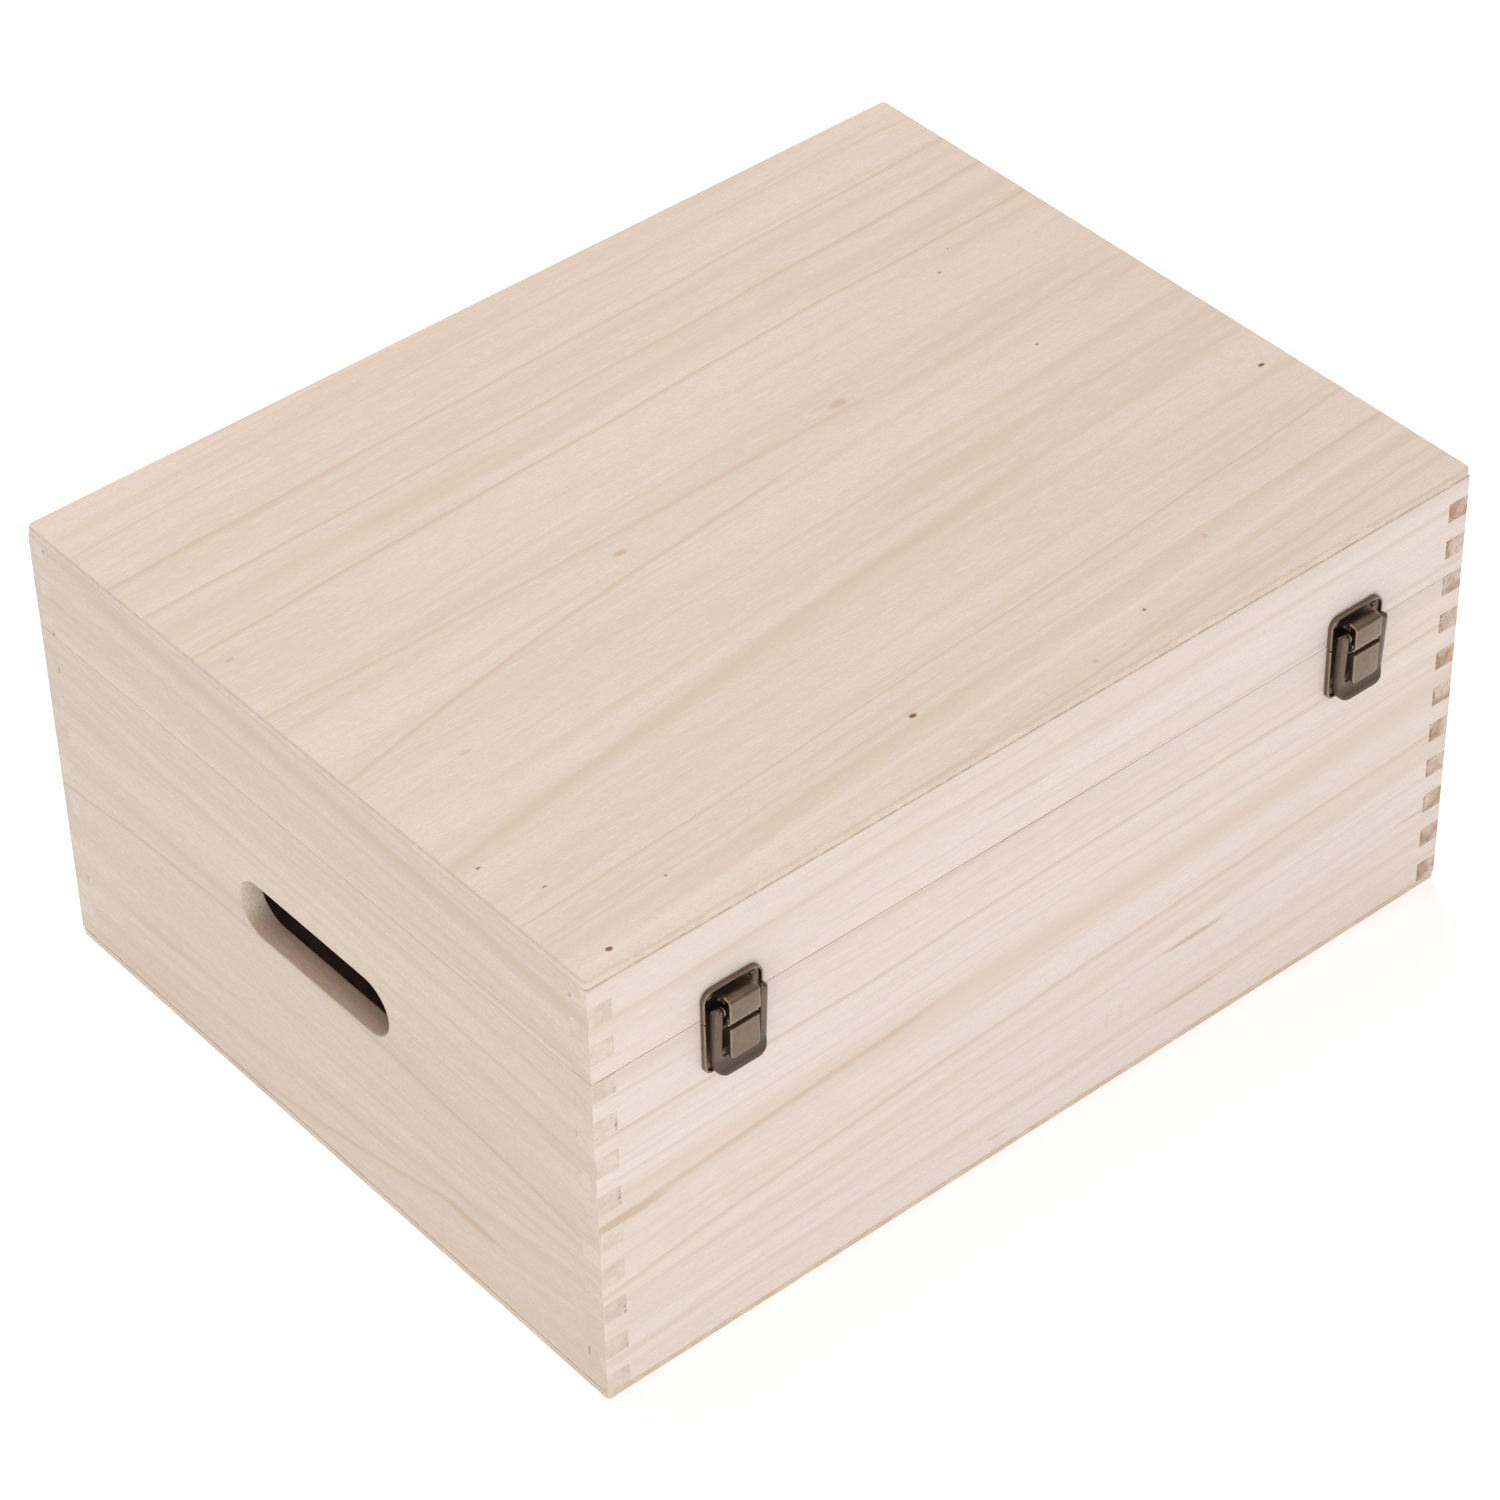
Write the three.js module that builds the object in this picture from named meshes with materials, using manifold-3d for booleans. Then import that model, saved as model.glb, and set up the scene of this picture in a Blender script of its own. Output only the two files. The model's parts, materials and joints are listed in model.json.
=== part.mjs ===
// A wooden toy box with a hinged lid: finger-jointed boards, a sheet panel on top and one underneath,
// two pressed brass toggle latches in front and two brass stop hinges behind.
//
// Millimetres, +Z up. The box's long side runs along X and its front faces -Y. The origin is the middle
// of the underside, so Z = 0 is the surface that the box stands on.

import * as THREE from 'three';
import * as BufferGeometryUtils from 'three/addons/utils/BufferGeometryUtils.js';
import Module from 'manifold-3d';

const wasm = await Module();
wasm.setup();

// ---------------------------------------------------------------------------------------------
// Driving dimensions
// ---------------------------------------------------------------------------------------------

const BOX_LENGTH = 400;          // along X
const BOX_DEPTH = 312;           // along Y
const BOX_HEIGHT = 194;          // underside to top of the lid
const BOARD = 9.6;               // thickness of the eight frame boards
const BOTTOM_PANEL = 2.8;
const TOP_PANEL = 3.8;
const LID_LINE = 148.8;          // height of the saw cut that parts the lid from the base
const LID_LINE_GAP = 0.4;
const GLUE_GAP = 0.2;            // between glued faces
const BASE_FINGERS = 17;         // rows in each base corner, the lowest belonging to the side board
const LID_FINGERS = 5;           // rows in each lid corner, the lowest belonging to the front board

const PANEL_CORNER = 3;          // plan radius of both panels' corners
const TOP_EDGE_ROUND = 1.4;

const HAND_HOLE = { length: 86, height: 24.4, centreZ: 95.5 };

const LATCH_X = { left: -142.2, right: 144.2 };
const HINGE_X = { left: -128, right: 128 };

// A latch is drawn with its own origin on the front face at the lid line, so its Z is above the lid
// line and its depth in front of the wood is -Y.
const PLATE = {
  halfWidth: 12.7, standOff: 0.1, floor: 0.8, rim: 2.2, rimWidth: 1.0,
  top: 12.7, splitTop: -0.6, splitBottom: -1.0, bottom: -23.3, topRadius: 4.5, bottomRadius: 3,
};
const KEEPER = { halfWidth: 5.6, shelfZ: 5.6, reach: 4.0, sheet: 0.8, top: 8.3 };
const LEVER = {
  halfWidth: 10.75, slotHalfWidth: 7.75, back: 3.0, front: 6.8, top: 7.3, bottom: -22.8,
  slotBottom: -14.8, bottomRadius: 5, pivotDepth: 4.9, pivotZ: 4.6,
};
const PAD = { halfWidth: 6.2, front: 7.4, sheet: 0.9, top: -2.7, bottom: -15.8, blend: 1.2 };
const EAR = { inner: 6.85, outer: 7.55, round: 1.7, rootLow: -9, rootHigh: -1.6 };
const CLAW = {
  halfWidth: 6.5, sheet: 0.9, front: 8.0, bottom: 0.1, top: 9.5, back: 2.4,
  pivotDepth: 5.7, pivotZ: -1.3, barrel: 1.15,
};
const PIVOT_RIVET = 0.9;         // radius
const CLAW_PIN = 0.6;            // radius
const BORE_CLEARANCE = 0.15;

const NAIL = { head: 1.25, headHeight: 0.55, shank: 0.6, length: 6.5 };
const STRIKE_NAIL = { x: 9.0, z: 8.9 };
const BASE_NAIL = { x: 8.6, z: -19.2 };

// A hinge is drawn with its own origin on the pin's axis; +Y is away from the back of the box.
const HINGE = {
  axisOffset: 2.3, halfWidth: 14, leaf: 16.5, sheet: 1.0, barrel: 2.2, pin: 1.1,
  knuckle: 5.2, knuckleGap: 0.3, clearance: 0.4, corner: 2, pinOverhang: 0.5,
  stopReach: 3.5, stopThickness: 0.8,
};
const SCREW = { head: 2.1, headHeight: 0.6, shank: 1.05, length: 7 };
const SCREW_SPOT = { x: 8.8, z: 10.2 };

const ROUND_SEGMENTS = 16;

// ---------------------------------------------------------------------------------------------
// Values that follow from them
// ---------------------------------------------------------------------------------------------

const HALF_LENGTH = BOX_LENGTH / 2;
const HALF_DEPTH = BOX_DEPTH / 2;
const FRONT_FACE = -HALF_DEPTH;
const BACK_FACE = HALF_DEPTH;
const BASE_BOTTOM = BOTTOM_PANEL + GLUE_GAP;
const BASE_TOP = LID_LINE - LID_LINE_GAP / 2;
const LID_BOTTOM = LID_LINE + LID_LINE_GAP / 2;
const LID_TOP = BOX_HEIGHT - TOP_PANEL - GLUE_GAP;

// ---------------------------------------------------------------------------------------------
// Solids and booleans
// ---------------------------------------------------------------------------------------------

function toManifold(geometry) {
  const bare = geometry.clone();
  bare.deleteAttribute('normal');
  bare.deleteAttribute('uv');
  const merged = BufferGeometryUtils.mergeVertices(bare, 1e-4);
  const vertProperties = new Float32Array(merged.attributes.position.array);
  const triVerts = new Uint32Array(merged.index.array);
  return new wasm.Manifold(new wasm.Mesh({ numProp: 3, vertProperties, triVerts }));
}

function fromManifold(solid) {
  const mesh = solid.getMesh();
  const geometry = new THREE.BufferGeometry();
  geometry.setAttribute('position', new THREE.BufferAttribute(mesh.vertProperties, 3));
  geometry.setIndex(new THREE.BufferAttribute(mesh.triVerts, 1));
  geometry.computeVertexNormals();
  return geometry;
}

function join(...geometries) {
  return fromManifold(geometries.map(toManifold).reduce((sum, next) => sum.add(next)));
}

function cut(geometry, ...tools) {
  return fromManifold(tools.map(toManifold).reduce((rest, tool) => rest.subtract(tool), toManifold(geometry)));
}

function common(first, second) {
  return fromManifold(toManifold(first).intersect(toManifold(second)));
}

// Extrudes an outline drawn in X and Z from one Y to another.
function slabAlongY(shape, fromY, toY, curveSegments = ROUND_SEGMENTS) {
  const geometry = new THREE.ExtrudeGeometry(shape, { depth: toY - fromY, bevelEnabled: false, curveSegments });
  const basis = new THREE.Matrix4().makeBasis(
    new THREE.Vector3(1, 0, 0), new THREE.Vector3(0, 0, 1), new THREE.Vector3(0, -1, 0));
  return geometry.applyMatrix4(basis).translate(0, toY, 0);
}

// Extrudes an outline drawn in Y and Z from one X to another.
function slabAlongX(shape, fromX, toX, curveSegments = ROUND_SEGMENTS) {
  const geometry = new THREE.ExtrudeGeometry(shape, { depth: toX - fromX, bevelEnabled: false, curveSegments });
  const basis = new THREE.Matrix4().makeBasis(
    new THREE.Vector3(0, 1, 0), new THREE.Vector3(0, 0, 1), new THREE.Vector3(1, 0, 0));
  return geometry.applyMatrix4(basis).translate(fromX, 0, 0);
}

// Extrudes an outline drawn in X and Y from one Z to another.
function slabAlongZ(shape, fromZ, toZ, curveSegments = ROUND_SEGMENTS) {
  const geometry = new THREE.ExtrudeGeometry(shape, { depth: toZ - fromZ, bevelEnabled: false, curveSegments });
  return geometry.translate(0, 0, fromZ);
}

function outline(points) {
  return new THREE.Shape(points.map(([u, v]) => new THREE.Vector2(u, v)));
}

function rectangle(left, right, low, high) {
  return outline([[left, low], [right, low], [right, high], [left, high]]);
}

function circle(u, v, radius) {
  return new THREE.Shape().absarc(u, v, radius, 0, 2 * Math.PI, false);
}

// A rectangle with one radius for its two low corners and one for its two high corners.
function roundedRectangle(left, right, low, high, lowRadius, highRadius) {
  const shape = new THREE.Shape();
  shape.moveTo(left + lowRadius, low);
  shape.lineTo(right - lowRadius, low);
  if (lowRadius) shape.absarc(right - lowRadius, low + lowRadius, lowRadius, -Math.PI / 2, 0, false);
  shape.lineTo(right, high - highRadius);
  if (highRadius) shape.absarc(right - highRadius, high - highRadius, highRadius, 0, Math.PI / 2, false);
  shape.lineTo(left + highRadius, high);
  if (highRadius) shape.absarc(left + highRadius, high - highRadius, highRadius, Math.PI / 2, Math.PI, false);
  shape.lineTo(left, low + lowRadius);
  if (lowRadius) shape.absarc(left + lowRadius, low + lowRadius, lowRadius, Math.PI, 1.5 * Math.PI, false);
  return shape;
}

// A round bar along X through a point given in Y and Z.
function barAlongX(y, z, radius, fromX, toX) {
  return slabAlongX(circle(y, z, radius), fromX, toX, ROUND_SEGMENTS / 2);
}

// A round bar along Y through a point given in X and Z.
function barAlongY(x, z, radius, fromY, toY) {
  return slabAlongY(circle(x, z, radius), fromY, toY, ROUND_SEGMENTS / 2);
}

// ---------------------------------------------------------------------------------------------
// Wooden boards
// ---------------------------------------------------------------------------------------------

// The outline of a board whose ends are cut into fingers. The rows that the board owns run to its full
// length, and between them it stops short by the thickness of the board that it meets.
function fingerOutline(halfLength, low, high, rows, ownsLowest) {
  const row = (high - low) / rows;
  const short = halfLength - BOARD - GLUE_GAP;
  const owned = (index) => (index % 2 === 0) === ownsLowest;
  const edge = [];
  for (let index = 0; index < rows; index += 1) {
    const reach = owned(index) ? halfLength : short;
    const inset = owned(index) ? GLUE_GAP / 2 : -GLUE_GAP / 2;
    const from = index === 0 ? low : low + index * row + inset;
    const to = index === rows - 1 ? high : low + (index + 1) * row - inset;
    edge.push([reach, from], [reach, to]);
  }
  const mirrored = edge.map(([reach, z]) => [-reach, z]).reverse();
  return outline([...edge, ...mirrored]);
}

function handHole() {
  const radius = HAND_HOLE.height / 2;
  const straight = HAND_HOLE.length / 2 - radius;
  const hole = new THREE.Path();
  hole.moveTo(-straight, HAND_HOLE.centreZ - radius);
  hole.lineTo(straight, HAND_HOLE.centreZ - radius);
  hole.absarc(straight, HAND_HOLE.centreZ, radius, -Math.PI / 2, Math.PI / 2, false);
  hole.lineTo(-straight, HAND_HOLE.centreZ + radius);
  hole.absarc(-straight, HAND_HOLE.centreZ, radius, Math.PI / 2, 1.5 * Math.PI, false);
  return hole;
}

// Blind holes for the nails or screws that hold one kind of fitting, as bars that reach past the face.
function pilotHoles(centres, spots, face, inward, fastener) {
  const depth = fastener.length + GLUE_GAP;
  const ends = [face - inward, face + inward * depth].sort((a, b) => a - b);
  const holes = [];
  for (const x of centres) {
    for (const spot of spots) {
      for (const side of [-1, 1]) {
        const radius = fastener.shank + BORE_CLEARANCE;
        holes.push(barAlongY(x + side * spot.x, LID_LINE + spot.z, radius, ...ends));
      }
    }
  }
  return holes;
}

function frontBoard(low, high, rows, ownsLowest, nail) {
  const board = slabAlongY(fingerOutline(HALF_LENGTH, low, high, rows, ownsLowest), FRONT_FACE, FRONT_FACE + BOARD);
  return cut(board, ...pilotHoles(Object.values(LATCH_X), [nail], FRONT_FACE, 1, NAIL));
}

function backBoard(low, high, rows, ownsLowest, screwZ) {
  const board = slabAlongY(fingerOutline(HALF_LENGTH, low, high, rows, ownsLowest), BACK_FACE - BOARD, BACK_FACE);
  const spot = { x: SCREW_SPOT.x, z: screwZ };
  return cut(board, ...pilotHoles(Object.values(HINGE_X), [spot], BACK_FACE, -1, SCREW));
}

function sideBoard(side, low, high, rows, ownsLowest, hasHole) {
  const shape = fingerOutline(HALF_DEPTH, low, high, rows, ownsLowest);
  if (hasHole) shape.holes.push(handHole());
  const outer = side * HALF_LENGTH;
  const inner = side * (HALF_LENGTH - BOARD);
  return slabAlongX(shape, Math.min(outer, inner), Math.max(outer, inner));
}

function bottomPanel() {
  const shape = roundedRectangle(-HALF_LENGTH, HALF_LENGTH, -HALF_DEPTH, HALF_DEPTH, PANEL_CORNER, PANEL_CORNER);
  return slabAlongZ(shape, 0, BOTTOM_PANEL, ROUND_SEGMENTS / 4);
}

// The lid's panel: a sheet whose upper edge is rounded all the way round. It is drawn twice as thick as
// it is, rounded above and below, and its lower half is cut away.
function topPanel() {
  const inset = TOP_EDGE_ROUND;
  const shape = roundedRectangle(
    inset - HALF_LENGTH, HALF_LENGTH - inset, inset - HALF_DEPTH, HALF_DEPTH - inset,
    PANEL_CORNER - inset, PANEL_CORNER - inset);
  const sheet = new THREE.ExtrudeGeometry(shape, {
    depth: 2 * (TOP_PANEL - inset), bevelEnabled: true, bevelThickness: inset, bevelSize: inset,
    bevelSegments: 4, curveSegments: ROUND_SEGMENTS / 4,
  });
  const low = BOX_HEIGHT - 2 * TOP_PANEL;
  sheet.translate(0, 0, low + inset);
  const waste = rectangle(-BOX_LENGTH, BOX_LENGTH, -BOX_DEPTH, BOX_DEPTH);
  return cut(sheet, slabAlongZ(waste, low - TOP_PANEL, BOX_HEIGHT - TOP_PANEL));
}

// ---------------------------------------------------------------------------------------------
// Latches
// ---------------------------------------------------------------------------------------------

// A shallow pressed tray. The recess runs out through the edge where the two plates of a latch meet.
function tray(outerShape, recessShape) {
  const body = slabAlongY(outerShape, -PLATE.rim, -PLATE.standOff, ROUND_SEGMENTS / 4);
  const recess = slabAlongY(recessShape, -PLATE.rim - 1, -PLATE.standOff - PLATE.floor, ROUND_SEGMENTS / 4);
  return cut(body, recess);
}

function nailHolesInPlate(spot) {
  const radius = NAIL.shank + BORE_CLEARANCE;
  return [-1, 1].map((side) => barAlongY(side * spot.x, spot.z, radius, -PLATE.rim - 1, 1));
}

function strikePlate() {
  const { halfWidth, rimWidth, topRadius } = PLATE;
  const plate = tray(
    roundedRectangle(-halfWidth, halfWidth, PLATE.splitTop, PLATE.top, 0, topRadius),
    roundedRectangle(rimWidth - halfWidth, halfWidth - rimWidth, PLATE.splitTop - 1, PLATE.top - rimWidth,
      0, topRadius - rimWidth));
  const face = PLATE.standOff + PLATE.floor;
  const keeper = outline([
    [-face + 0.3, KEEPER.shelfZ],
    [-face + 0.3, KEEPER.shelfZ + KEEPER.sheet],
    [-KEEPER.reach + KEEPER.sheet, KEEPER.shelfZ + KEEPER.sheet],
    [-KEEPER.reach + KEEPER.sheet, KEEPER.top],
    [-KEEPER.reach, KEEPER.top],
    [-KEEPER.reach, KEEPER.shelfZ],
  ].reverse());
  const hook = slabAlongX(keeper, -KEEPER.halfWidth, KEEPER.halfWidth);
  return cut(join(plate, hook), ...nailHolesInPlate(STRIKE_NAIL));
}

// One of the base plate's two ears, which carry the lever.
function ear(side) {
  const { pivotDepth, pivotZ } = LEVER;
  const root = -PLATE.standOff - PLATE.floor + 0.3;
  const shape = new THREE.Shape();
  shape.moveTo(root, EAR.rootHigh);
  shape.lineTo(-pivotDepth + EAR.round * Math.SQRT1_2, pivotZ + EAR.round * Math.SQRT1_2);
  shape.absarc(-pivotDepth, pivotZ, EAR.round, Math.PI / 4, 1.25 * Math.PI, false);
  shape.lineTo(root, EAR.rootLow);
  const ends = [side * EAR.inner, side * EAR.outer].sort((a, b) => a - b);
  const bore = barAlongX(-pivotDepth, pivotZ, PIVOT_RIVET + BORE_CLEARANCE, ends[0] - 1, ends[1] + 1);
  return cut(slabAlongX(shape, ...ends, ROUND_SEGMENTS / 2), bore);
}

function latchBasePlate() {
  const { halfWidth, rimWidth, bottomRadius } = PLATE;
  const plate = tray(
    roundedRectangle(-halfWidth, halfWidth, PLATE.bottom, PLATE.splitBottom, bottomRadius, 0),
    roundedRectangle(rimWidth - halfWidth, halfWidth - rimWidth, PLATE.bottom + rimWidth, PLATE.splitBottom + 1,
      bottomRadius - rimWidth, 0));
  return cut(join(plate, ear(-1), ear(1)), ...nailHolesInPlate(BASE_NAIL));
}

// The lever is a U-shaped bar, round at the top of each arm and at the finger lip, with a raised pad
// that stands up from the bottom of the U.
function lever() {
  const u = new THREE.Shape();
  const { halfWidth, slotHalfWidth, top, bottom, slotBottom, bottomRadius } = LEVER;
  u.moveTo(-halfWidth + bottomRadius, bottom);
  u.lineTo(halfWidth - bottomRadius, bottom);
  u.absarc(halfWidth - bottomRadius, bottom + bottomRadius, bottomRadius, -Math.PI / 2, 0, false);
  u.lineTo(halfWidth, top);
  u.lineTo(slotHalfWidth, top);
  u.lineTo(slotHalfWidth, slotBottom);
  u.lineTo(-slotHalfWidth, slotBottom);
  u.lineTo(-slotHalfWidth, top);
  u.lineTo(-halfWidth, top);
  u.lineTo(-halfWidth, bottom + bottomRadius);
  u.absarc(-halfWidth + bottomRadius, bottom + bottomRadius, bottomRadius, Math.PI, 1.5 * Math.PI, false);
  const face = slabAlongY(u, -LEVER.front, -LEVER.back, ROUND_SEGMENTS / 2);

  const half = (LEVER.front - LEVER.back) / 2;
  const lip = LEVER.front - LEVER.back;
  const side = new THREE.Shape();
  side.moveTo(-LEVER.back, bottom);
  side.lineTo(-LEVER.back, top - half);
  side.absarc(-LEVER.back - half, top - half, half, 0, Math.PI, false);
  side.lineTo(-LEVER.front, bottom + lip);
  side.absarc(-LEVER.back, bottom + lip, lip, Math.PI, 1.5 * Math.PI, false);
  const body = common(face, slabAlongX(side, -halfWidth - 1, halfWidth + 1, ROUND_SEGMENTS / 2));

  const padBack = -PAD.front + PAD.sheet;
  const pad = outline([
    [-PAD.front, PAD.top],
    [-PAD.front, PAD.bottom],
    [-LEVER.front, PAD.bottom - PAD.blend],
    [-LEVER.front + PAD.sheet, PAD.bottom - PAD.blend],
    [-LEVER.front + PAD.sheet, slotBottom],
    [padBack, slotBottom + PAD.sheet],
    [padBack, PAD.top],
  ]);
  const padSolid = slabAlongX(pad, -PAD.halfWidth, PAD.halfWidth);
  const reach = halfWidth + 1;
  const pivotBore = barAlongX(-LEVER.pivotDepth, LEVER.pivotZ, PIVOT_RIVET + BORE_CLEARANCE, -reach, reach);
  const clawBore = barAlongX(-CLAW.pivotDepth, CLAW.pivotZ, CLAW_PIN + BORE_CLEARANCE, -reach, reach);
  return cut(join(body, padSolid), pivotBore, clawBore);
}

// The claw: a barrel on its pin, a stem, and a cap folded back at the top over the keeper.
function claw() {
  const { halfWidth, sheet, front, bottom, top, back, pivotDepth, pivotZ, barrel } = CLAW;
  const stemBack = -pivotDepth + sheet / 2;
  const cap = outline([
    [stemBack, pivotZ],
    [stemBack, bottom + sheet],
    [-front + sheet, bottom + sheet],
    [-front + sheet, top - sheet],
    [-back, top - sheet],
    [-back, top],
    [-front + sheet / 2, top],
    [-front, top - sheet / 2],
    [-front, bottom + sheet / 2],
    [-front + sheet / 2, bottom],
    [stemBack - sheet, bottom],
    [stemBack - sheet, pivotZ],
  ]);
  const body = join(
    slabAlongX(cap, -halfWidth, halfWidth),
    barAlongX(-pivotDepth, pivotZ, barrel, -halfWidth, halfWidth));
  return cut(body, barAlongX(-pivotDepth, pivotZ, CLAW_PIN + BORE_CLEARANCE, -halfWidth - 1, halfWidth + 1));
}

// A flush rivet through one arm of the lever and the ear beside it.
function pivotRivet(side) {
  const ends = [side * (EAR.inner - 0.1), side * (LEVER.halfWidth - 0.1)].sort((a, b) => a - b);
  return barAlongX(-LEVER.pivotDepth, LEVER.pivotZ, PIVOT_RIVET, ...ends);
}

function clawPin() {
  const end = LEVER.halfWidth - 0.1;
  return barAlongX(-CLAW.pivotDepth, CLAW.pivotZ, CLAW_PIN, -end, end);
}

// A round-headed fastener on its own axis: the head stands out along -Y and the shank points to +Y.
function fastener({ head, headHeight, shank, length }, plate) {
  const profile = [[0, -headHeight], [head * 0.6, -headHeight * 0.85], [head, -headHeight * 0.3], [head, 0],
    [shank, 0], [shank, plate + length - 2 * shank], [0, plate + length]];
  const points = profile.map(([radius, along]) => new THREE.Vector2(radius, along));
  return new THREE.LatheGeometry(points, 12);
}

// ---------------------------------------------------------------------------------------------
// Hinges
// ---------------------------------------------------------------------------------------------

// One leaf of a hinge. direction is 1 for the leaf on the lid and -1 for the leaf on the base.
function hingeLeaf(direction, knuckles, gaps) {
  const { barrel, sheet, halfWidth, leaf, corner, clearance } = HINGE;
  const far = direction * leaf;
  const plateShape = direction > 0
    ? roundedRectangle(-halfWidth, halfWidth, 0, far, 0, corner)
    : roundedRectangle(-halfWidth, halfWidth, far, 0, corner, 0);
  let solid = slabAlongY(plateShape, -barrel, -barrel + sheet, ROUND_SEGMENTS / 4);
  const notch = circle(0, 0, barrel + clearance);
  solid = cut(solid, ...gaps.map(([from, to]) => slabAlongX(notch, from, to, ROUND_SEGMENTS / 2)));
  solid = join(solid, ...knuckles.map(([from, to]) => barAlongX(0, 0, barrel, from, to)));
  const bore = barAlongX(0, 0, HINGE.pin + BORE_CLEARANCE, -halfWidth - 1, halfWidth + 1);
  const holes = [-1, 1].map((side) => barAlongY(
    side * SCREW_SPOT.x, direction * SCREW_SPOT.z, SCREW.shank + BORE_CLEARANCE, -barrel - 1, 1));
  return cut(solid, bore, ...holes);
}

function baseLeaf() {
  const { halfWidth, knuckle, knuckleGap } = HINGE;
  const inner = knuckle + knuckleGap;
  return hingeLeaf(-1, [[-halfWidth, -inner], [inner, halfWidth]], [[-inner, inner]]);
}

// The lid's leaf has the middle knuckle, with a ridge along it that meets the base leaf when the lid
// stands open.
function lidLeaf() {
  const { halfWidth, knuckle, knuckleGap, barrel, stopReach, stopThickness } = HINGE;
  const leaf = hingeLeaf(1, [[-knuckle, knuckle]], [[-halfWidth - 1, -knuckle], [knuckle, halfWidth + 1]]);
  const ridge = rectangle(barrel - 0.5, stopReach, -stopThickness / 2, stopThickness / 2);
  return join(leaf, slabAlongX(ridge, -knuckle + knuckleGap, knuckle - knuckleGap));
}

function hingePin() {
  const end = HINGE.halfWidth + HINGE.pinOverhang;
  return barAlongX(0, 0, HINGE.pin, -end, end);
}

// ---------------------------------------------------------------------------------------------
// Assembly
// ---------------------------------------------------------------------------------------------

const FINISH = {
  wood: { color: 0xdccab9, roughness: 0.72, metalness: 0 },
  sheetWood: { color: 0xd6c3ad, roughness: 0.7, metalness: 0 },
  brass: { color: 0x77685a, roughness: 0.42, metalness: 0.9 },
  darkBrass: { color: 0x4a3d30, roughness: 0.5, metalness: 0.85 },
};

const toyBox = new THREE.Group();

function add(parent, name, geometry, finish) {
  const mesh = new THREE.Mesh(geometry, new THREE.MeshStandardMaterial(FINISH[finish]));
  mesh.name = name;
  parent.add(mesh);
  return mesh;
}

function addFastener(parent, name, kind, plate, position, turn) {
  const mesh = add(parent, name, fastener(kind, plate), 'darkBrass');
  mesh.position.set(...position);
  mesh.rotation.z = turn;
}

function addLatch(side) {
  const latch = new THREE.Group();
  latch.position.set(LATCH_X[side], FRONT_FACE, LID_LINE);
  const name = (piece) => `latch_${side}_${piece}`;
  add(latch, name('strike_plate'), strikePlate(), 'brass');
  add(latch, name('base_plate'), latchBasePlate(), 'brass');
  add(latch, name('lever'), lever(), 'brass');
  add(latch, name('claw'), claw(), 'brass');
  add(latch, name('claw_pin'), clawPin(), 'darkBrass');
  add(latch, name('pivot_rivet_1'), pivotRivet(-1), 'darkBrass');
  add(latch, name('pivot_rivet_2'), pivotRivet(1), 'darkBrass');
  const face = PLATE.standOff + PLATE.floor;
  const rest = -face - 0.05;
  for (const [index, sign] of [[1, -1], [2, 1]]) {
    const strikeAt = [sign * STRIKE_NAIL.x, rest, STRIKE_NAIL.z];
    const baseAt = [sign * BASE_NAIL.x, rest, BASE_NAIL.z];
    addFastener(latch, name(`strike_nail_${index}`), NAIL, face, strikeAt, 0);
    addFastener(latch, name(`base_nail_${index}`), NAIL, face, baseAt, 0);
  }
  toyBox.add(latch);
}

function addHinge(side) {
  const hinge = new THREE.Group();
  hinge.position.set(HINGE_X[side], BACK_FACE + HINGE.axisOffset, LID_LINE);
  const name = (piece) => `hinge_${side}_${piece}`;
  add(hinge, name('base_leaf'), baseLeaf(), 'brass');
  add(hinge, name('lid_leaf'), lidLeaf(), 'brass');
  add(hinge, name('pin'), hingePin(), 'darkBrass');
  const outerFace = HINGE.sheet - HINGE.barrel;
  const woodGap = HINGE.axisOffset - HINGE.barrel;
  for (const [index, sign] of [[1, -1], [2, 1]]) {
    for (const [part, direction] of [['base', -1], ['lid', 1]]) {
      const at = [sign * SCREW_SPOT.x, outerFace + 0.05, direction * SCREW_SPOT.z];
      addFastener(hinge, name(`${part}_screw_${index}`), SCREW, HINGE.sheet + woodGap, at, Math.PI);
    }
  }
  toyBox.add(hinge);
}

const base = [BASE_BOTTOM, BASE_TOP, BASE_FINGERS];
add(toyBox, 'base_bottom_panel', bottomPanel(), 'sheetWood');
add(toyBox, 'base_front_board', frontBoard(...base, false, BASE_NAIL), 'wood');
add(toyBox, 'base_back_board', backBoard(...base, false, -SCREW_SPOT.z), 'wood');
add(toyBox, 'base_left_board', sideBoard(-1, ...base, true, true), 'wood');
add(toyBox, 'base_right_board', sideBoard(1, ...base, true, true), 'wood');

const lid = [LID_BOTTOM, LID_TOP, LID_FINGERS];
add(toyBox, 'lid_front_board', frontBoard(...lid, true, STRIKE_NAIL), 'wood');
add(toyBox, 'lid_back_board', backBoard(...lid, true, SCREW_SPOT.z), 'wood');
add(toyBox, 'lid_left_board', sideBoard(-1, ...lid, false, false), 'wood');
add(toyBox, 'lid_right_board', sideBoard(1, ...lid, false, false), 'wood');
add(toyBox, 'lid_top_panel', topPanel(), 'sheetWood');

for (const side of ['left', 'right']) {
  addLatch(side);
  addHinge(side);
}

export default toyBox;
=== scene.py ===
"""Looks of the wooden toy box: its boards, panels, toggle latches and hinges, its studio and camera."""

from __future__ import annotations

import json
import logging
import math
import random
from dataclasses import dataclass, field
from enum import Enum
from typing import Callable, Iterable, Optional, Sequence, Union

import bmesh
import bpy
from mathutils import Matrix, Vector

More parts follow.
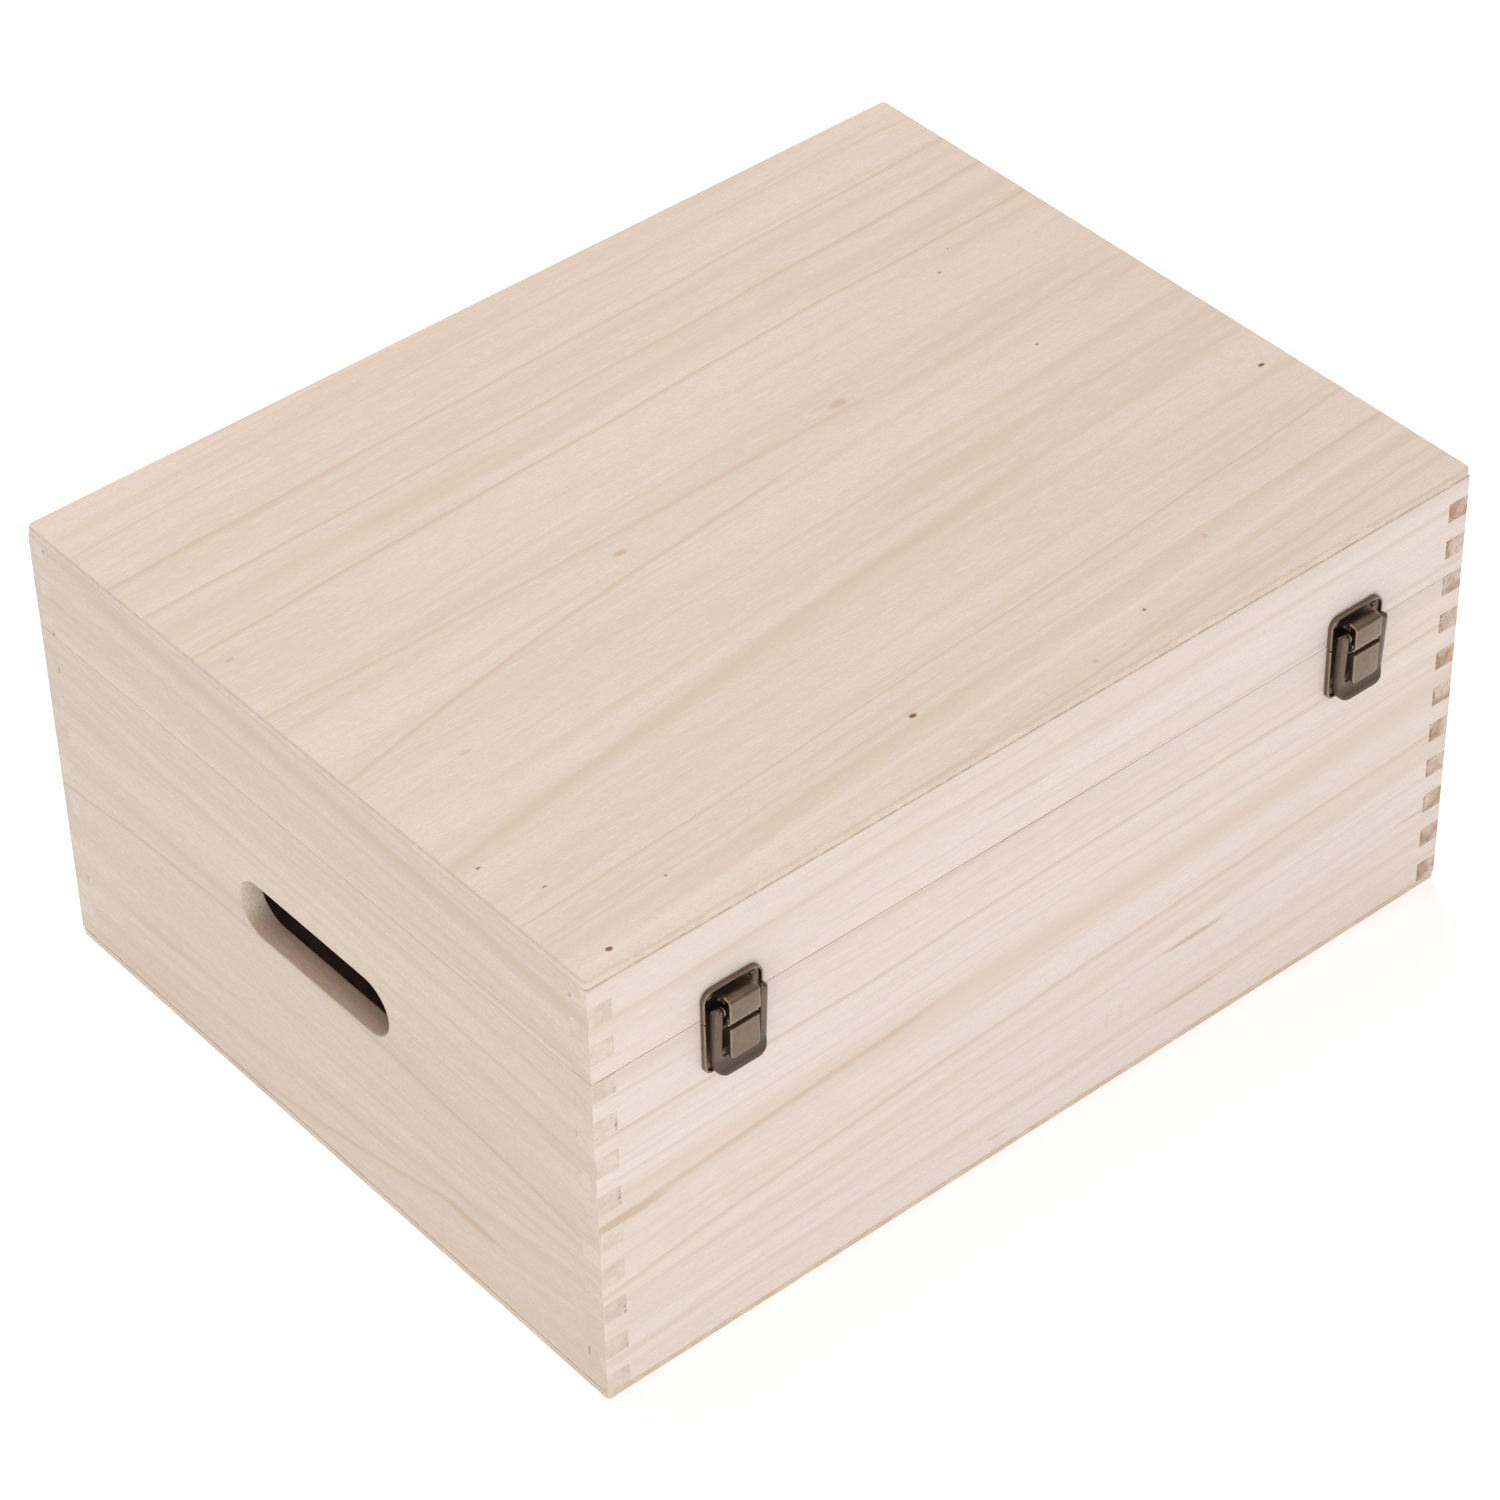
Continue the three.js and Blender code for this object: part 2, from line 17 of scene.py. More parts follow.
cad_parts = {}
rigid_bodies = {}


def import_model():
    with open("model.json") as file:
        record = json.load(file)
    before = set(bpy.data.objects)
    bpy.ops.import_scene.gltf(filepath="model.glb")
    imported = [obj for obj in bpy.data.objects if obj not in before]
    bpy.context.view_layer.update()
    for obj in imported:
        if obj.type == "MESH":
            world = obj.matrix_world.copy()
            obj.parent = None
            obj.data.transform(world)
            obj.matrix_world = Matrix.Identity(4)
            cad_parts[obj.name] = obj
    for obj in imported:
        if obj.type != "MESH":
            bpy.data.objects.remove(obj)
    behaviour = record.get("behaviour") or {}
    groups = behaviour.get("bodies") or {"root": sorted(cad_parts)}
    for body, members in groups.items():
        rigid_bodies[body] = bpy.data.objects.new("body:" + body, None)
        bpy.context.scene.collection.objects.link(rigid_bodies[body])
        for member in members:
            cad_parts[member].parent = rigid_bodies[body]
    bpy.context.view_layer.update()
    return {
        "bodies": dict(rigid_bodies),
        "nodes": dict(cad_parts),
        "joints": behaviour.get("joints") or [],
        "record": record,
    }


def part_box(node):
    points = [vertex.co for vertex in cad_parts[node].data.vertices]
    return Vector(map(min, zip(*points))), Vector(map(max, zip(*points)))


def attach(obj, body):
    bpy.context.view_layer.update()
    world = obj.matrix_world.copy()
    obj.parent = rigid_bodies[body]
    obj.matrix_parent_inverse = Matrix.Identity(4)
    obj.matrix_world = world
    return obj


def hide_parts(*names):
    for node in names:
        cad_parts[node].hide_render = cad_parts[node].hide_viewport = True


LOG = logging.getLogger("toy_box")
MM = 0.001
HALF_LENGTH = 200.0
HALF_DEPTH = 156.0
HEIGHT = 194.0

Colour = tuple[float, float, float]
Socket = bpy.types.NodeSocket
Value = Union[float, Sequence[float], Socket]


def from_srgb(red: int, green: int, blue: int) -> Colour:
    """Turns a display colour of 0 to 255 into linear light.

    Args:
        red: Red, 0 to 255.
        green: Green, 0 to 255.
        blue: Blue, 0 to 255.

    Returns:
        The linear colour.
    """
    def linear(level: int) -> float:
        """One channel in linear light."""
        share = level / 255
        return share / 12.92 if share <= 0.04045 else ((share + 0.055) / 1.055) ** 2.4

    return linear(red), linear(green), linear(blue)


def tinted(colour: Colour, red: float, green: float, blue: float) -> Colour:
    """A colour with its channels scaled, none of them past full."""
    return min(1.0, colour[0] * red), min(1.0, colour[1] * green), min(1.0, colour[2] * blue)


# --------------------------------------------------------------------------------------------------
# Shader trees
# --------------------------------------------------------------------------------------------------


class Tree:
    """A material's or a group's node tree, with short ways to add and join nodes."""

    def __init__(self, tree: bpy.types.NodeTree) -> None:
        """Wraps a tree and clears it."""
        self.tree = tree
        self.tree.nodes.clear()

    def put(self, socket: Socket, value: Value) -> None:
        """Links a socket to another, or sets its own value.

        Args:
            socket: The input to feed.
            value: An output socket, a number or a colour.
        """
        if isinstance(value, bpy.types.NodeSocket):
            self.tree.links.new(value, socket)
        elif isinstance(value, (int, float)):
            socket.default_value = value
        elif socket.type == "RGBA" and len(value) == 3:
            socket.default_value = (*value, 1.0)
        else:
            socket.default_value = tuple(value)

    def node(self, kind: str, inputs: Optional[dict] = None, **settings: object) -> bpy.types.Node:
        """Adds a node.

        Args:
            kind: The node's type, without its ShaderNode prefix.
            inputs: Values by input name or index.
            **settings: The node's own properties.

        Returns:
            The new node.
        """
        made = self.tree.nodes.new("ShaderNode" + kind)
        for name, value in settings.items():
            setattr(made, name, value)
        for name, value in (inputs or {}).items():
            self.put(made.inputs[name], value)
        return made

    def math(self, operation: str, *values: Value, clamp: bool = False) -> Socket:
        """A Math node's result.

        Args:
            operation: The node's operation.
            *values: Its inputs, in order.
            clamp: Whether the result is kept from 0 to 1.

        Returns:
            The output socket.
        """
        return self.node("Math", dict(enumerate(values)), operation=operation, use_clamp=clamp).outputs[0]

    def times(self, first: Value, second: Value, clamp: bool = False) -> Socket:
        """One number times another."""
        return self.math("MULTIPLY", first, second, clamp=clamp)

    def plus(self, first: Value, second: Value, clamp: bool = False) -> Socket:
        """One number and another together."""
        return self.math("ADD", first, second, clamp=clamp)

    def minus(self, first: Value, second: Value) -> Socket:
        """One number less another."""
        return self.math("SUBTRACT", first, second)

    def smooth(self, value: Value, low: Value, high: Value, start: float = 0.0, end: float = 1.0) -> Socket:
        """A smooth step from one level to another.

        Args:
            value: What is stepped.
            low: Where the step begins.
            high: Where it ends.
            start: The result before the step.
            end: The result after it.

        Returns:
            The output socket.
        """
        step = self.node("MapRange", {0: value, 1: low, 2: high, 3: start, 4: end})
        step.interpolation_type = "SMOOTHSTEP"
        return step.outputs[0]

    def noise(self, at: Socket, scale: float, detail: float = 2.0, roughness: float = 0.5) -> Socket:
        """A noise texture's value, from 0 to 1.

        Args:
            at: Where it is read.
            scale: Its scale.
            detail: Its octaves.
            roughness: How strong the finer octaves are.

        Returns:
            The output socket.
        """
        made = self.node("TexNoise", {"Vector": at, "Scale": scale, "Detail": detail, "Roughness": roughness})
        return made.outputs[0]

    def mix(self, share: Value, first: Value, second: Value, blend: str = "MIX") -> Socket:
        """Mixes two colours.

        Args:
            share: The second colour's share.
            first: The first colour.
            second: The second colour.
            blend: How they mix.

        Returns:
            The output socket.
        """
        made = self.node("Mix", data_type="RGBA", blend_type=blend, clamp_factor=True)
        self.put(made.inputs[0], share)
        self.put(made.inputs[6], first)
        self.put(made.inputs[7], second)
        return made.outputs[2]

    def join(self, x: Value, y: Value, z: Value) -> Socket:
        """Three numbers as one vector."""
        return self.node("CombineXYZ", {0: x, 1: y, 2: z}).outputs[0]

    def split(self, vector: Socket) -> tuple[Socket, Socket, Socket]:
        """A vector's three numbers."""
        parts = self.node("SeparateXYZ", {0: vector}).outputs
        return parts[0], parts[1], parts[2]

    def place(self) -> Socket:
        """The surface's place in the part's own axes, in metres."""
        return self.node("TexCoord").outputs["Object"]

    def stretched(self, at: Socket, x: float, y: float, z: float) -> Socket:
        """A place with its three axes scaled."""
        return self.node("VectorMath", {0: at, 1: (x, y, z)}, operation="MULTIPLY").outputs[0]

    def moved(self, at: Socket, along_x: Value) -> Socket:
        """A place moved along X."""
        return self.node("VectorMath", {0: at, 1: self.join(along_x, 0.0, 0.0)}, operation="ADD").outputs[0]

    def bump(self, strength: float, distance: float, height: Socket) -> Socket:
        """A surface direction roughened by a height, over a distance in metres."""
        return self.node("Bump", {"Strength": strength, "Distance": distance, "Height": height}).outputs[0]

    def surface(self, **inputs: Value) -> None:
        """Ends the tree in a shader.

        Args:
            **inputs: The shader's inputs by name, with underscores for spaces.
        """
        by_name = {name.replace("_", " "): value for name, value in inputs.items()}
        shader = self.node("BsdfPrincipled", by_name)
        self.put(self.node("OutputMaterial").inputs["Surface"], shader.outputs[0])

    def use(self, group: bpy.types.NodeTree, **inputs: Value) -> bpy.types.Node:
        """Places a node group.

        Args:
            group: The group.
            **inputs: Values by input name, with underscores for spaces.

        Returns:
            The group's node.
        """
        made = self.tree.nodes.new("ShaderNodeGroup")
        made.node_tree = group
        for name, value in inputs.items():
            self.put(made.inputs[name.replace("_", " ")], value)
        return made


def new_material(name: str) -> tuple[bpy.types.Material, Tree]:
    """An empty material and its tree."""
    made = bpy.data.materials.new(name)
    made.use_nodes = True
    return made, Tree(made.node_tree)


class Group(Tree):
    """A shared node group that is filled once, with named inputs and outputs."""

    def __init__(self, name: str, inputs: dict[str, Value], outputs: Iterable[str]) -> None:
        """Makes the group and its sockets.

        Args:
            name: The group's name.
            inputs: Each input's name and default: a number, or a tuple for a vector.
            outputs: The outputs' names, all of them numbers.
        """
        super().__init__(bpy.data.node_groups.new(name, "ShaderNodeTree"))
        for label, default in inputs.items():
            kind = "NodeSocketVector" if isinstance(default, tuple) else "NodeSocketFloat"
            made = self.tree.interface.new_socket(label, in_out="INPUT", socket_type=kind)
            made.default_value = default
        for label in outputs:
            self.tree.interface.new_socket(label, in_out="OUTPUT", socket_type="NodeSocketFloat")
        self.given = self.tree.nodes.new("NodeGroupInput").outputs
        self.result = self.tree.nodes.new("NodeGroupOutput").inputs


class Effects:
    """The effects that several finishes share, each one node group."""

    def __init__(self) -> None:
        """Builds every group once."""
        self.flow = self._flow()
        self.growth_line = self._growth_line()
        self.rings = self._rings()
        self.fibre = self._fibre()
        self.knot = self._knot()
        self.wear_and_sheen = self._wear_and_sheen()

    @staticmethod
    def _flow() -> bpy.types.NodeTree:
        """Wavering grain: how far across a board a point lies once the grain's bends are taken out."""
        inputs = {"Point": (0, 0, 0), "Waver": 1.0, "Slope": 0.0, "Slope Gain": 0.0, "Seed": 0.0}
        g = Group("grain flow", inputs, ["Across", "Level"])
        along, across, through = g.split(g.given["Point"])
        slow = g.noise(g.join(g.times(along, 0.011), g.times(across, 0.02),
                              g.plus(g.times(through, 0.01), g.given["Seed"])), 1.0, 1.0)
        quick = g.noise(g.join(g.times(along, 0.09), g.times(across, 0.12),
                               g.plus(g.times(through, 0.05), g.given["Seed"])), 1.0, 2.0)
        bend = g.plus(g.times(g.minus(slow, 0.5), 4.0), g.times(g.minus(quick, 0.5), 0.9))
        wavy = g.math("MULTIPLY_ADD", bend, g.given["Waver"], across)
        slope = g.math("MULTIPLY_ADD", wavy, g.given["Slope Gain"], g.given["Slope"])
        g.put(g.result["Across"], wavy)
        g.put(g.result["Level"], g.math("MULTIPLY_ADD", along, slope, wavy))
        return g.tree

    @staticmethod
    def _growth_line() -> bpy.types.NodeTree:
        """One growth line along a gentle curve, crisp above and soft below, added to the others."""
        g = Group("growth line", {"Along": 0.0, "Across": 0.0, "Start": 0.0, "Middle": 0.0, "End": 0.0,
                                  "Width": 2.0, "Depth": 0.5, "From": -1.0, "To": 2.0, "Sum": 0.0}, ["Sum"])
        start, middle, end = g.given["Start"], g.given["Middle"], g.given["End"]
        ends = g.plus(start, end)
        bow = g.times(g.math("MULTIPLY_ADD", middle, -2.0, ends), 2.0)
        rise = g.minus(g.minus(end, start), bow)
        climb = g.math("MULTIPLY_ADD", g.given["Along"], bow, rise)
        curve = g.math("MULTIPLY_ADD", g.given["Along"], climb, start)
        away = g.minus(g.given["Across"], curve)
        crisp = g.smooth(away, g.times(g.given["Width"], -0.45), 0.0)
        soft = g.smooth(away, 0.0, g.given["Width"], 1.0, 0.0)
        begun = g.smooth(g.given["Along"], g.given["From"], g.plus(g.given["From"], 0.12))
        ended = g.smooth(g.given["Along"], g.minus(g.given["To"], 0.12), g.given["To"], 1.0, 0.0)
        shown = g.times(g.times(crisp, soft), g.times(begun, ended))
        g.put(g.result["Sum"], g.math("MULTIPLY_ADD", shown, g.given["Depth"], g.given["Sum"]))
        return g.tree

    @staticmethod
    def _rings() -> bpy.types.NodeTree:
        """Fine growth rings and broad soft bands that follow the grain."""
        inputs = {"Point": (0, 0, 0), "Level": 0.0, "Spacing": 4.0, "Seed": 0.0}
        g = Group("rings", inputs, ["Rings", "Bands"])
        along, _, through = g.split(g.given["Point"])
        row = g.math("DIVIDE", g.given["Level"], g.given["Spacing"])
        depth = g.plus(g.times(through, 0.06), g.given["Seed"])
        fine = g.noise(g.join(g.times(along, 0.006), row, depth), 1.0, 4.0, 0.66)
        broad = g.noise(g.join(g.times(along, 0.004), g.times(g.given["Level"], 0.05), depth), 1.0, 1.0)
        g.put(g.result["Rings"], g.smooth(fine, 0.47, 0.68))
        g.put(g.result["Bands"], g.smooth(broad, 0.3, 0.7))
        return g.tree

    @staticmethod
    def _fibre() -> bpy.types.NodeTree:
        """Fibres drawn out along the grain, open pores, and the soft nap that sanding leaves."""
        g = Group("wood fibre", {"Point": (0, 0, 0), "Seed": 0.0}, ["Fibre", "Pores", "Nap", "Tint"])
        along, across, through = g.split(g.given["Point"])
        third = g.plus(g.times(through, 1.6), g.given["Seed"])
        fibre = g.noise(g.join(g.times(along, 0.16), g.times(across, 1.7), third), 1.0, 3.0, 0.65)
        pore = g.noise(g.join(g.times(along, 0.42), g.times(across, 3.4), third), 1.0, 1.0)
        nap = g.noise(g.join(along, g.times(across, 1.3), third), 0.8, 2.0, 0.6)
        tint = g.noise(g.join(g.times(along, 0.03), g.times(across, 0.16), third), 1.0, 2.0)
        g.put(g.result["Fibre"], fibre)
        g.put(g.result["Pores"], g.smooth(pore, 0.66, 0.78))
        g.put(g.result["Nap"], nap)
        g.put(g.result["Tint"], tint)
        return g.tree

    @staticmethod
    def _knot() -> bpy.types.NodeTree:
        """One small pin knot or fleck, added to the others."""
        g = Group("pin knot", {"Along": 0.0, "Across": 0.0, "At Along": 0.0, "At Across": 0.0, "Length": 2.0,
                               "Height": 1.5, "Depth": 1.0, "Sum": 0.0}, ["Sum"])
        right = g.math("DIVIDE", g.minus(g.given["Along"], g.given["At Along"]), g.given["Length"])
        up = g.math("DIVIDE", g.minus(g.given["Across"], g.given["At Across"]), g.given["Height"])
        away = g.math("SQRT", g.plus(g.times(right, right), g.times(up, up)))
        spot = g.smooth(away, 0.25, 0.62, 1.0, 0.0)
        g.put(g.result["Sum"], g.math("MULTIPLY_ADD", spot, g.given["Depth"], g.given["Sum"]))
        return g.tree

    @staticmethod
    def _wear_and_sheen() -> bpy.types.NodeTree:
        """Where an edge is bright from rubbing and painted highlight, and where a recess is darkened by
        tarnished patina and painted shade.
        """
        g = Group("edge wearing and sheen", {"Radius": 0.0005, "Reach": 0.003, "Patchiness": 0.4, "Seed": 0.0},
                  ["Worn", "Edge Sheen And Rubbing", "Sunk Patina And Shade", "Patches"])
        true_normal = g.node("NewGeometry").outputs["True Normal"]
        rounded = g.node("Bevel", {"Radius": g.given["Radius"]}, samples=6).outputs[0]
        turned = g.node("VectorMath", {0: true_normal, 1: rounded}, operation="DOT_PRODUCT").outputs["Value"]
        closed = g.node("AmbientOcclusion", {"Distance": g.given["Reach"]}, samples=6).outputs["AO"]
        patches = g.noise(g.moved(g.place(), g.given["Seed"]), 420.0, 3.0, 0.6)
        open_air = g.smooth(closed, 0.4, 0.8)
        # Edge mask: brass bared by rubbing, and painted highlight along the rounded edges.
        edge = g.times(g.smooth(turned, 0.975, 0.82), open_air)
        # Broader band by the edges: rubbing and painted sheen, which lightens the plating.
        g.put(g.result["Edge Sheen And Rubbing"], g.times(g.smooth(turned, 0.9995, 0.96), open_air))
        kept = g.math("MULTIPLY_ADD", g.smooth(patches, 0.35, 0.6), g.given["Patchiness"],
                      g.minus(1.0, g.given["Patchiness"]))
        g.put(g.result["Worn"], g.times(edge, kept, clamp=True))
        # Ambient occlusion mask: tarnished patina and painted shade in recesses.
        g.put(g.result["Sunk Patina And Shade"], g.smooth(closed, 0.85, 0.3))
        g.put(g.result["Patches"], patches)
        return g.tree


# --------------------------------------------------------------------------------------------------
# Wood finishes
# --------------------------------------------------------------------------------------------------


FLECK_STAIN = from_srgb(206, 178, 150)
KNOT_STAIN = from_srgb(138, 100, 74)
GLUE_STAIN = from_srgb(140, 110, 84)


class Facing(Enum):
    """Which way a board's outer face looks, and so how its grain is laid out."""

    TOP = "top"
    FRONT = "front"
    BACK = "back"
    LEFT = "left"
    RIGHT = "right"
    BOTTOM = "bottom"


@dataclass(frozen=True)
class GrowthLine:
    """A growth line that shows on a face, in millimetres down from the face's upper edge."""

    start: float
    middle: float
    end: float
    width: float = 2.0
    depth: float = 0.5
    fade_in: float = -1.0
    fade_out: float = 2.0


@dataclass(frozen=True)
class PinKnot:
    """A pin knot or fleck: where it is along and across the face, and its size, in millimetres."""

    along: float
    across: float
    length: float = 2.0
    height: float = 1.4
    depth: float = 1.0


@dataclass(frozen=True)
class WoodFinish:
    """Bare sanded pale wood with its own figure."""

    name: str
    facing: Facing
    seed: float
    pale: Colour
    lines: tuple[GrowthLine, ...] = ()
    knots: tuple[PinKnot, ...] = ()
    flecks: tuple[PinKnot, ...] = ()
    slope: float = 0.05
    slope_gain: float = 0.0
    spacing: float = 4.0
    ring_share: float = 0.36
    band_share: float = 0.5
    waver: float = 1.0
    contrast: float = 1.0
    roughness: float = 0.62

    def _point(self, tree: Tree) -> Socket:
        """The face's own coordinates in millimetres: along the grain, across it and into the board.

        Args:
            tree: The material's tree.

        Returns:
            The vector socket.
        """
        x, y, z = tree.split(tree.place())
        down = (z, -1 / MM, HEIGHT)
        layout = {
            Facing.TOP: ((x, 1 / MM, HALF_LENGTH), (y, -1 / MM, HALF_DEPTH), (z, 1 / MM, 0.0)),
            Facing.BOTTOM: ((x, 1 / MM, HALF_LENGTH), (y, 1 / MM, HALF_DEPTH), (z, 1 / MM, 0.0)),
            Facing.FRONT: ((x, 1 / MM, HALF_LENGTH), down, (y, 1 / MM, HALF_DEPTH)),
            Facing.BACK: ((x, -1 / MM, HALF_LENGTH), down, (y, -1 / MM, HALF_DEPTH)),
            Facing.LEFT: ((y, -1 / MM, HALF_DEPTH), down, (x, 1 / MM, HALF_LENGTH)),
            Facing.RIGHT: ((y, 1 / MM, HALF_DEPTH), down, (x, -1 / MM, HALF_LENGTH)),
        }[self.facing]
        return tree.join(*(tree.math("MULTIPLY_ADD", axis, gain, shift) for axis, gain, shift in layout))

    def material(self, effects: Effects) -> bpy.types.Material:
        """Builds the finish's material.

        Args:
            effects: The shared node groups.

        Returns:
            The material.
        """
        made, tree = new_material(self.name)
        point = self._point(tree)
        along, _, _ = tree.split(point)
        flow = tree.use(effects.flow, Point=point, Waver=self.waver, Slope=self.slope,
                        Slope_Gain=self.slope_gain, Seed=self.seed).outputs
        rings = tree.use(effects.rings, Point=point, Level=flow["Level"], Spacing=self.spacing,
                         Seed=self.seed).outputs
        fibre = tree.use(effects.fibre, Point=point, Seed=self.seed).outputs
        length = 2 * (HALF_DEPTH if self.facing in (Facing.LEFT, Facing.RIGHT) else HALF_LENGTH)
        share = tree.math("DIVIDE", along, length)
        total: Value = 0.0
        for line in self.lines:
            total = tree.use(effects.growth_line, Along=share, Across=flow["Across"], Start=line.start,
                             Middle=line.middle, End=line.end, Width=line.width, Depth=line.depth,
                             From=line.fade_in, To=line.fade_out, Sum=total).outputs["Sum"]
        broken = tree.math("MULTIPLY_ADD", tree.smooth(fibre["Fibre"], 0.3, 0.6), 0.5, 0.62)
        dark_line = tree.times(total, broken, clamp=True)
        pale_line = tree.times(total, -1.0, clamp=True)
        tan = tinted(self.pale, 0.82, 0.735, 0.62)
        warm = tinted(self.pale, 0.925, 0.89, 0.85)
        light = tinted(self.pale, 1.045, 1.065, 1.09)
        rosy = tinted(self.pale, 1.0, 0.955, 0.95)
        colour = tree.mix(tree.times(rings["Bands"], self.band_share), self.pale, warm)
        colour = tree.mix(tree.smooth(fibre["Tint"], 0.5, 0.72, 0.0, 0.6), colour, rosy)
        colour = tree.mix(tree.smooth(fibre["Fibre"], 0.48, 0.68, 0.0, 0.6 * self.contrast), colour, light)
        colour = tree.mix(tree.smooth(fibre["Fibre"], 0.5, 0.3, 0.0, 0.7 * self.contrast), colour, warm)
        colour = tree.mix(tree.smooth(fibre["Nap"], 0.4, 0.65, 0.0, 0.4 * self.contrast), colour, warm)
        ring = tree.times(tree.times(rings["Rings"], broken), self.ring_share)
        colour = tree.mix(ring, colour, tan)
        colour = tree.mix(dark_line, colour, tan)
        colour = tree.mix(pale_line, colour, light)
        colour = tree.mix(tree.times(fibre["Pores"], 0.4 * self.contrast), colour, tan)
        colour = self._spots(tree, effects, point, colour, self.flecks, FLECK_STAIN)
        colour = self._spots(tree, effects, point, colour, self.knots, KNOT_STAIN)
        rough = tree.math("MULTIPLY_ADD", fibre["Nap"], 0.16, self.roughness - 0.08)
        fibres = tree.math("MULTIPLY_ADD", fibre["Pores"], -0.8, fibre["Fibre"])
        height = tree.math("MULTIPLY_ADD", rings["Rings"], 0.35, fibres)
        bump = tree.bump(0.16, 0.0002, height)
        tree.surface(Base_Color=colour, Roughness=rough, Normal=bump, Specular_IOR_Level=0.3)
        return made

    @staticmethod
    def _spots(tree: Tree, effects: Effects, point: Socket, colour: Socket, spots: Sequence[PinKnot],
               stain: Colour) -> Socket:
        """Lays knots or flecks over a colour.

        Args:
            tree: The material's tree.
            effects: The shared node groups.
            point: The face's coordinates.
            colour: The colour under them.
            spots: What is laid.
            stain: Their colour.

        Returns:
            The new colour socket.
        """
        if not spots:
            return colour
        along, across, _ = tree.split(point)
        ragged = tree.plus(tree.minus(tree.noise(point, 1.1, 2.0), 0.5), across)
        total: Value = 0.0
        for spot in spots:
            total = tree.use(effects.knot, Along=along, Across=ragged, At_Along=spot.along,
                             At_Across=spot.across, Length=spot.length, Height=spot.height,
                             Depth=spot.depth, Sum=total).outputs["Sum"]
        return tree.mix(tree.times(total, 1.0, clamp=True), colour, stain)


@dataclass(frozen=True)
class EndGrainFinish:
    """Sawn and sanded end grain, as the finger ends and the panels' ends show it.

    A stain darkens the glue line: root is how far out it lies on the root axis, in millimetres. A ply line
    is a glue line in a panel's edge, at a height in millimetres.
    """

    name: str
    pale: Colour
    dark: Colour
    seed: float = 0.0
    root: float = 0.0
    root_axis: int = 0
    stain: float = 0.0
    stain_from: float = 0.5
    ply: Optional[float] = None
    ply_colour: Colour = from_srgb(166, 136, 108)

    def material(self, effects: Effects) -> bpy.types.Material:
        """Builds the finish's material.

        Args:
            effects: The shared node groups; not used.

        Returns:
            The material.
        """
        made, tree = new_material(self.name)
        place = tree.moved(tree.place(), self.seed)
        finger = tree.noise(place, 95.0, 1.0)
        blotch = tree.noise(place, 420.0, 3.0, 0.6)
        pores = tree.noise(place, 2600.0, 1.0)
        by_finger = tree.smooth(finger, 0.38, 0.6, 0.0, 0.65)
        by_blotch = tree.smooth(blotch, 0.42, 0.68, 0.0, 0.5)
        colour = tree.mix(tree.plus(by_finger, by_blotch, clamp=True), self.pale, self.dark)
        tone = tree.smooth(pores, 0.55, 0.75, 0.0, 0.5)
        colour = tree.mix(tone, colour, tinted(self.dark, 0.8, 0.8, 0.8))
        if self.stain:
            colour = self._stained(tree, place, colour)
        if self.ply is not None:
            height = tree.times(tree.split(tree.place())[2], 1 / MM)
            away = tree.math("ABSOLUTE", tree.minus(height, self.ply))
            broken = tree.smooth(blotch, 0.3, 0.6, 0.35, 1.0)
            faint = tree.times(tree.smooth(away, 0.15, 0.75, 0.7, 0.0), broken)
            colour = tree.mix(faint, colour, self.ply_colour)
        bump = tree.bump(0.35, 0.0002, tree.math("MULTIPLY_ADD", pores, -0.7, blotch))
        rough = tree.math("MULTIPLY_ADD", blotch, 0.15, 0.68)
        tree.surface(Base_Color=colour, Roughness=rough, Normal=bump, Specular_IOR_Level=0.2)
        return made

    def _stained(self, tree: Tree, place: Socket, colour: Socket) -> Socket:
        """Darkens the glue line at the fingers' roots, here and there.

        Args:
            tree: The material's tree.
            place: Where the stain's chance is read.
            colour: The end grain's colour.

        Returns:
            The new colour socket.
        """
        axis = tree.split(tree.place())[self.root_axis]
        away = tree.minus(tree.times(tree.math("ABSOLUTE", axis), 1 / MM), self.root)
        near_root = tree.smooth(away, 0.0, 2.4, 0.36, 0.0)
        spots = tree.plus(tree.noise(place, 520.0, 2.0), near_root)
        here = tree.smooth(tree.noise(place, 130.0, 1.0), self.stain_from, self.stain_from + 0.12)
        share = tree.times(tree.smooth(spots, 0.74, 0.9, 0.0, self.stain), here)
        return tree.mix(share, colour, GLUE_STAIN)


@dataclass(frozen=True)
class RoutedWallFinish:
    """The wall of a routed hole: browned along the grain, paler and fuzzier across the fibres."""

    name: str
    pale: Colour
    brown: Colour

    def material(self, effects: Effects) -> bpy.types.Material:
        """Builds the finish's material.

        Args:
            effects: The shared node groups.

        Returns:
            The material.
        """
        made, tree = new_material(self.name)
        point = tree.stretched(tree.place(), 1 / MM, 1 / MM, 1 / MM)
        x, y, z = tree.split(point)
        fibre = tree.use(effects.fibre, Point=tree.join(y, x, z), Seed=6.2).outputs
        up = tree.split(tree.node("NewGeometry").outputs["Normal"])[2]
        fuzz = tree.noise(point, 0.9, 3.0, 0.65)
        flat = tree.plus(tree.math("ABSOLUTE", up), tree.math("MULTIPLY_ADD", fuzz, 0.5, -0.25))
        colour = tree.mix(tree.smooth(flat, 0.35, 0.95), self.pale, self.brown)
        colour = tree.mix(tree.smooth(fuzz, 0.4, 0.7, 0.0, 0.45), colour, tinted(self.pale, 0.6, 0.6, 0.6))
        colour = tree.mix(tree.smooth(fibre["Fibre"], 0.5, 0.7, 0.0, 0.3), colour, self.pale)
        bump = tree.bump(0.5, 0.0003, fuzz)
        rough = tree.math("MULTIPLY_ADD", fuzz, 0.2, 0.7)
        tree.surface(Base_Color=colour, Roughness=rough, Normal=bump, Specular_IOR_Level=0.15)
        return made


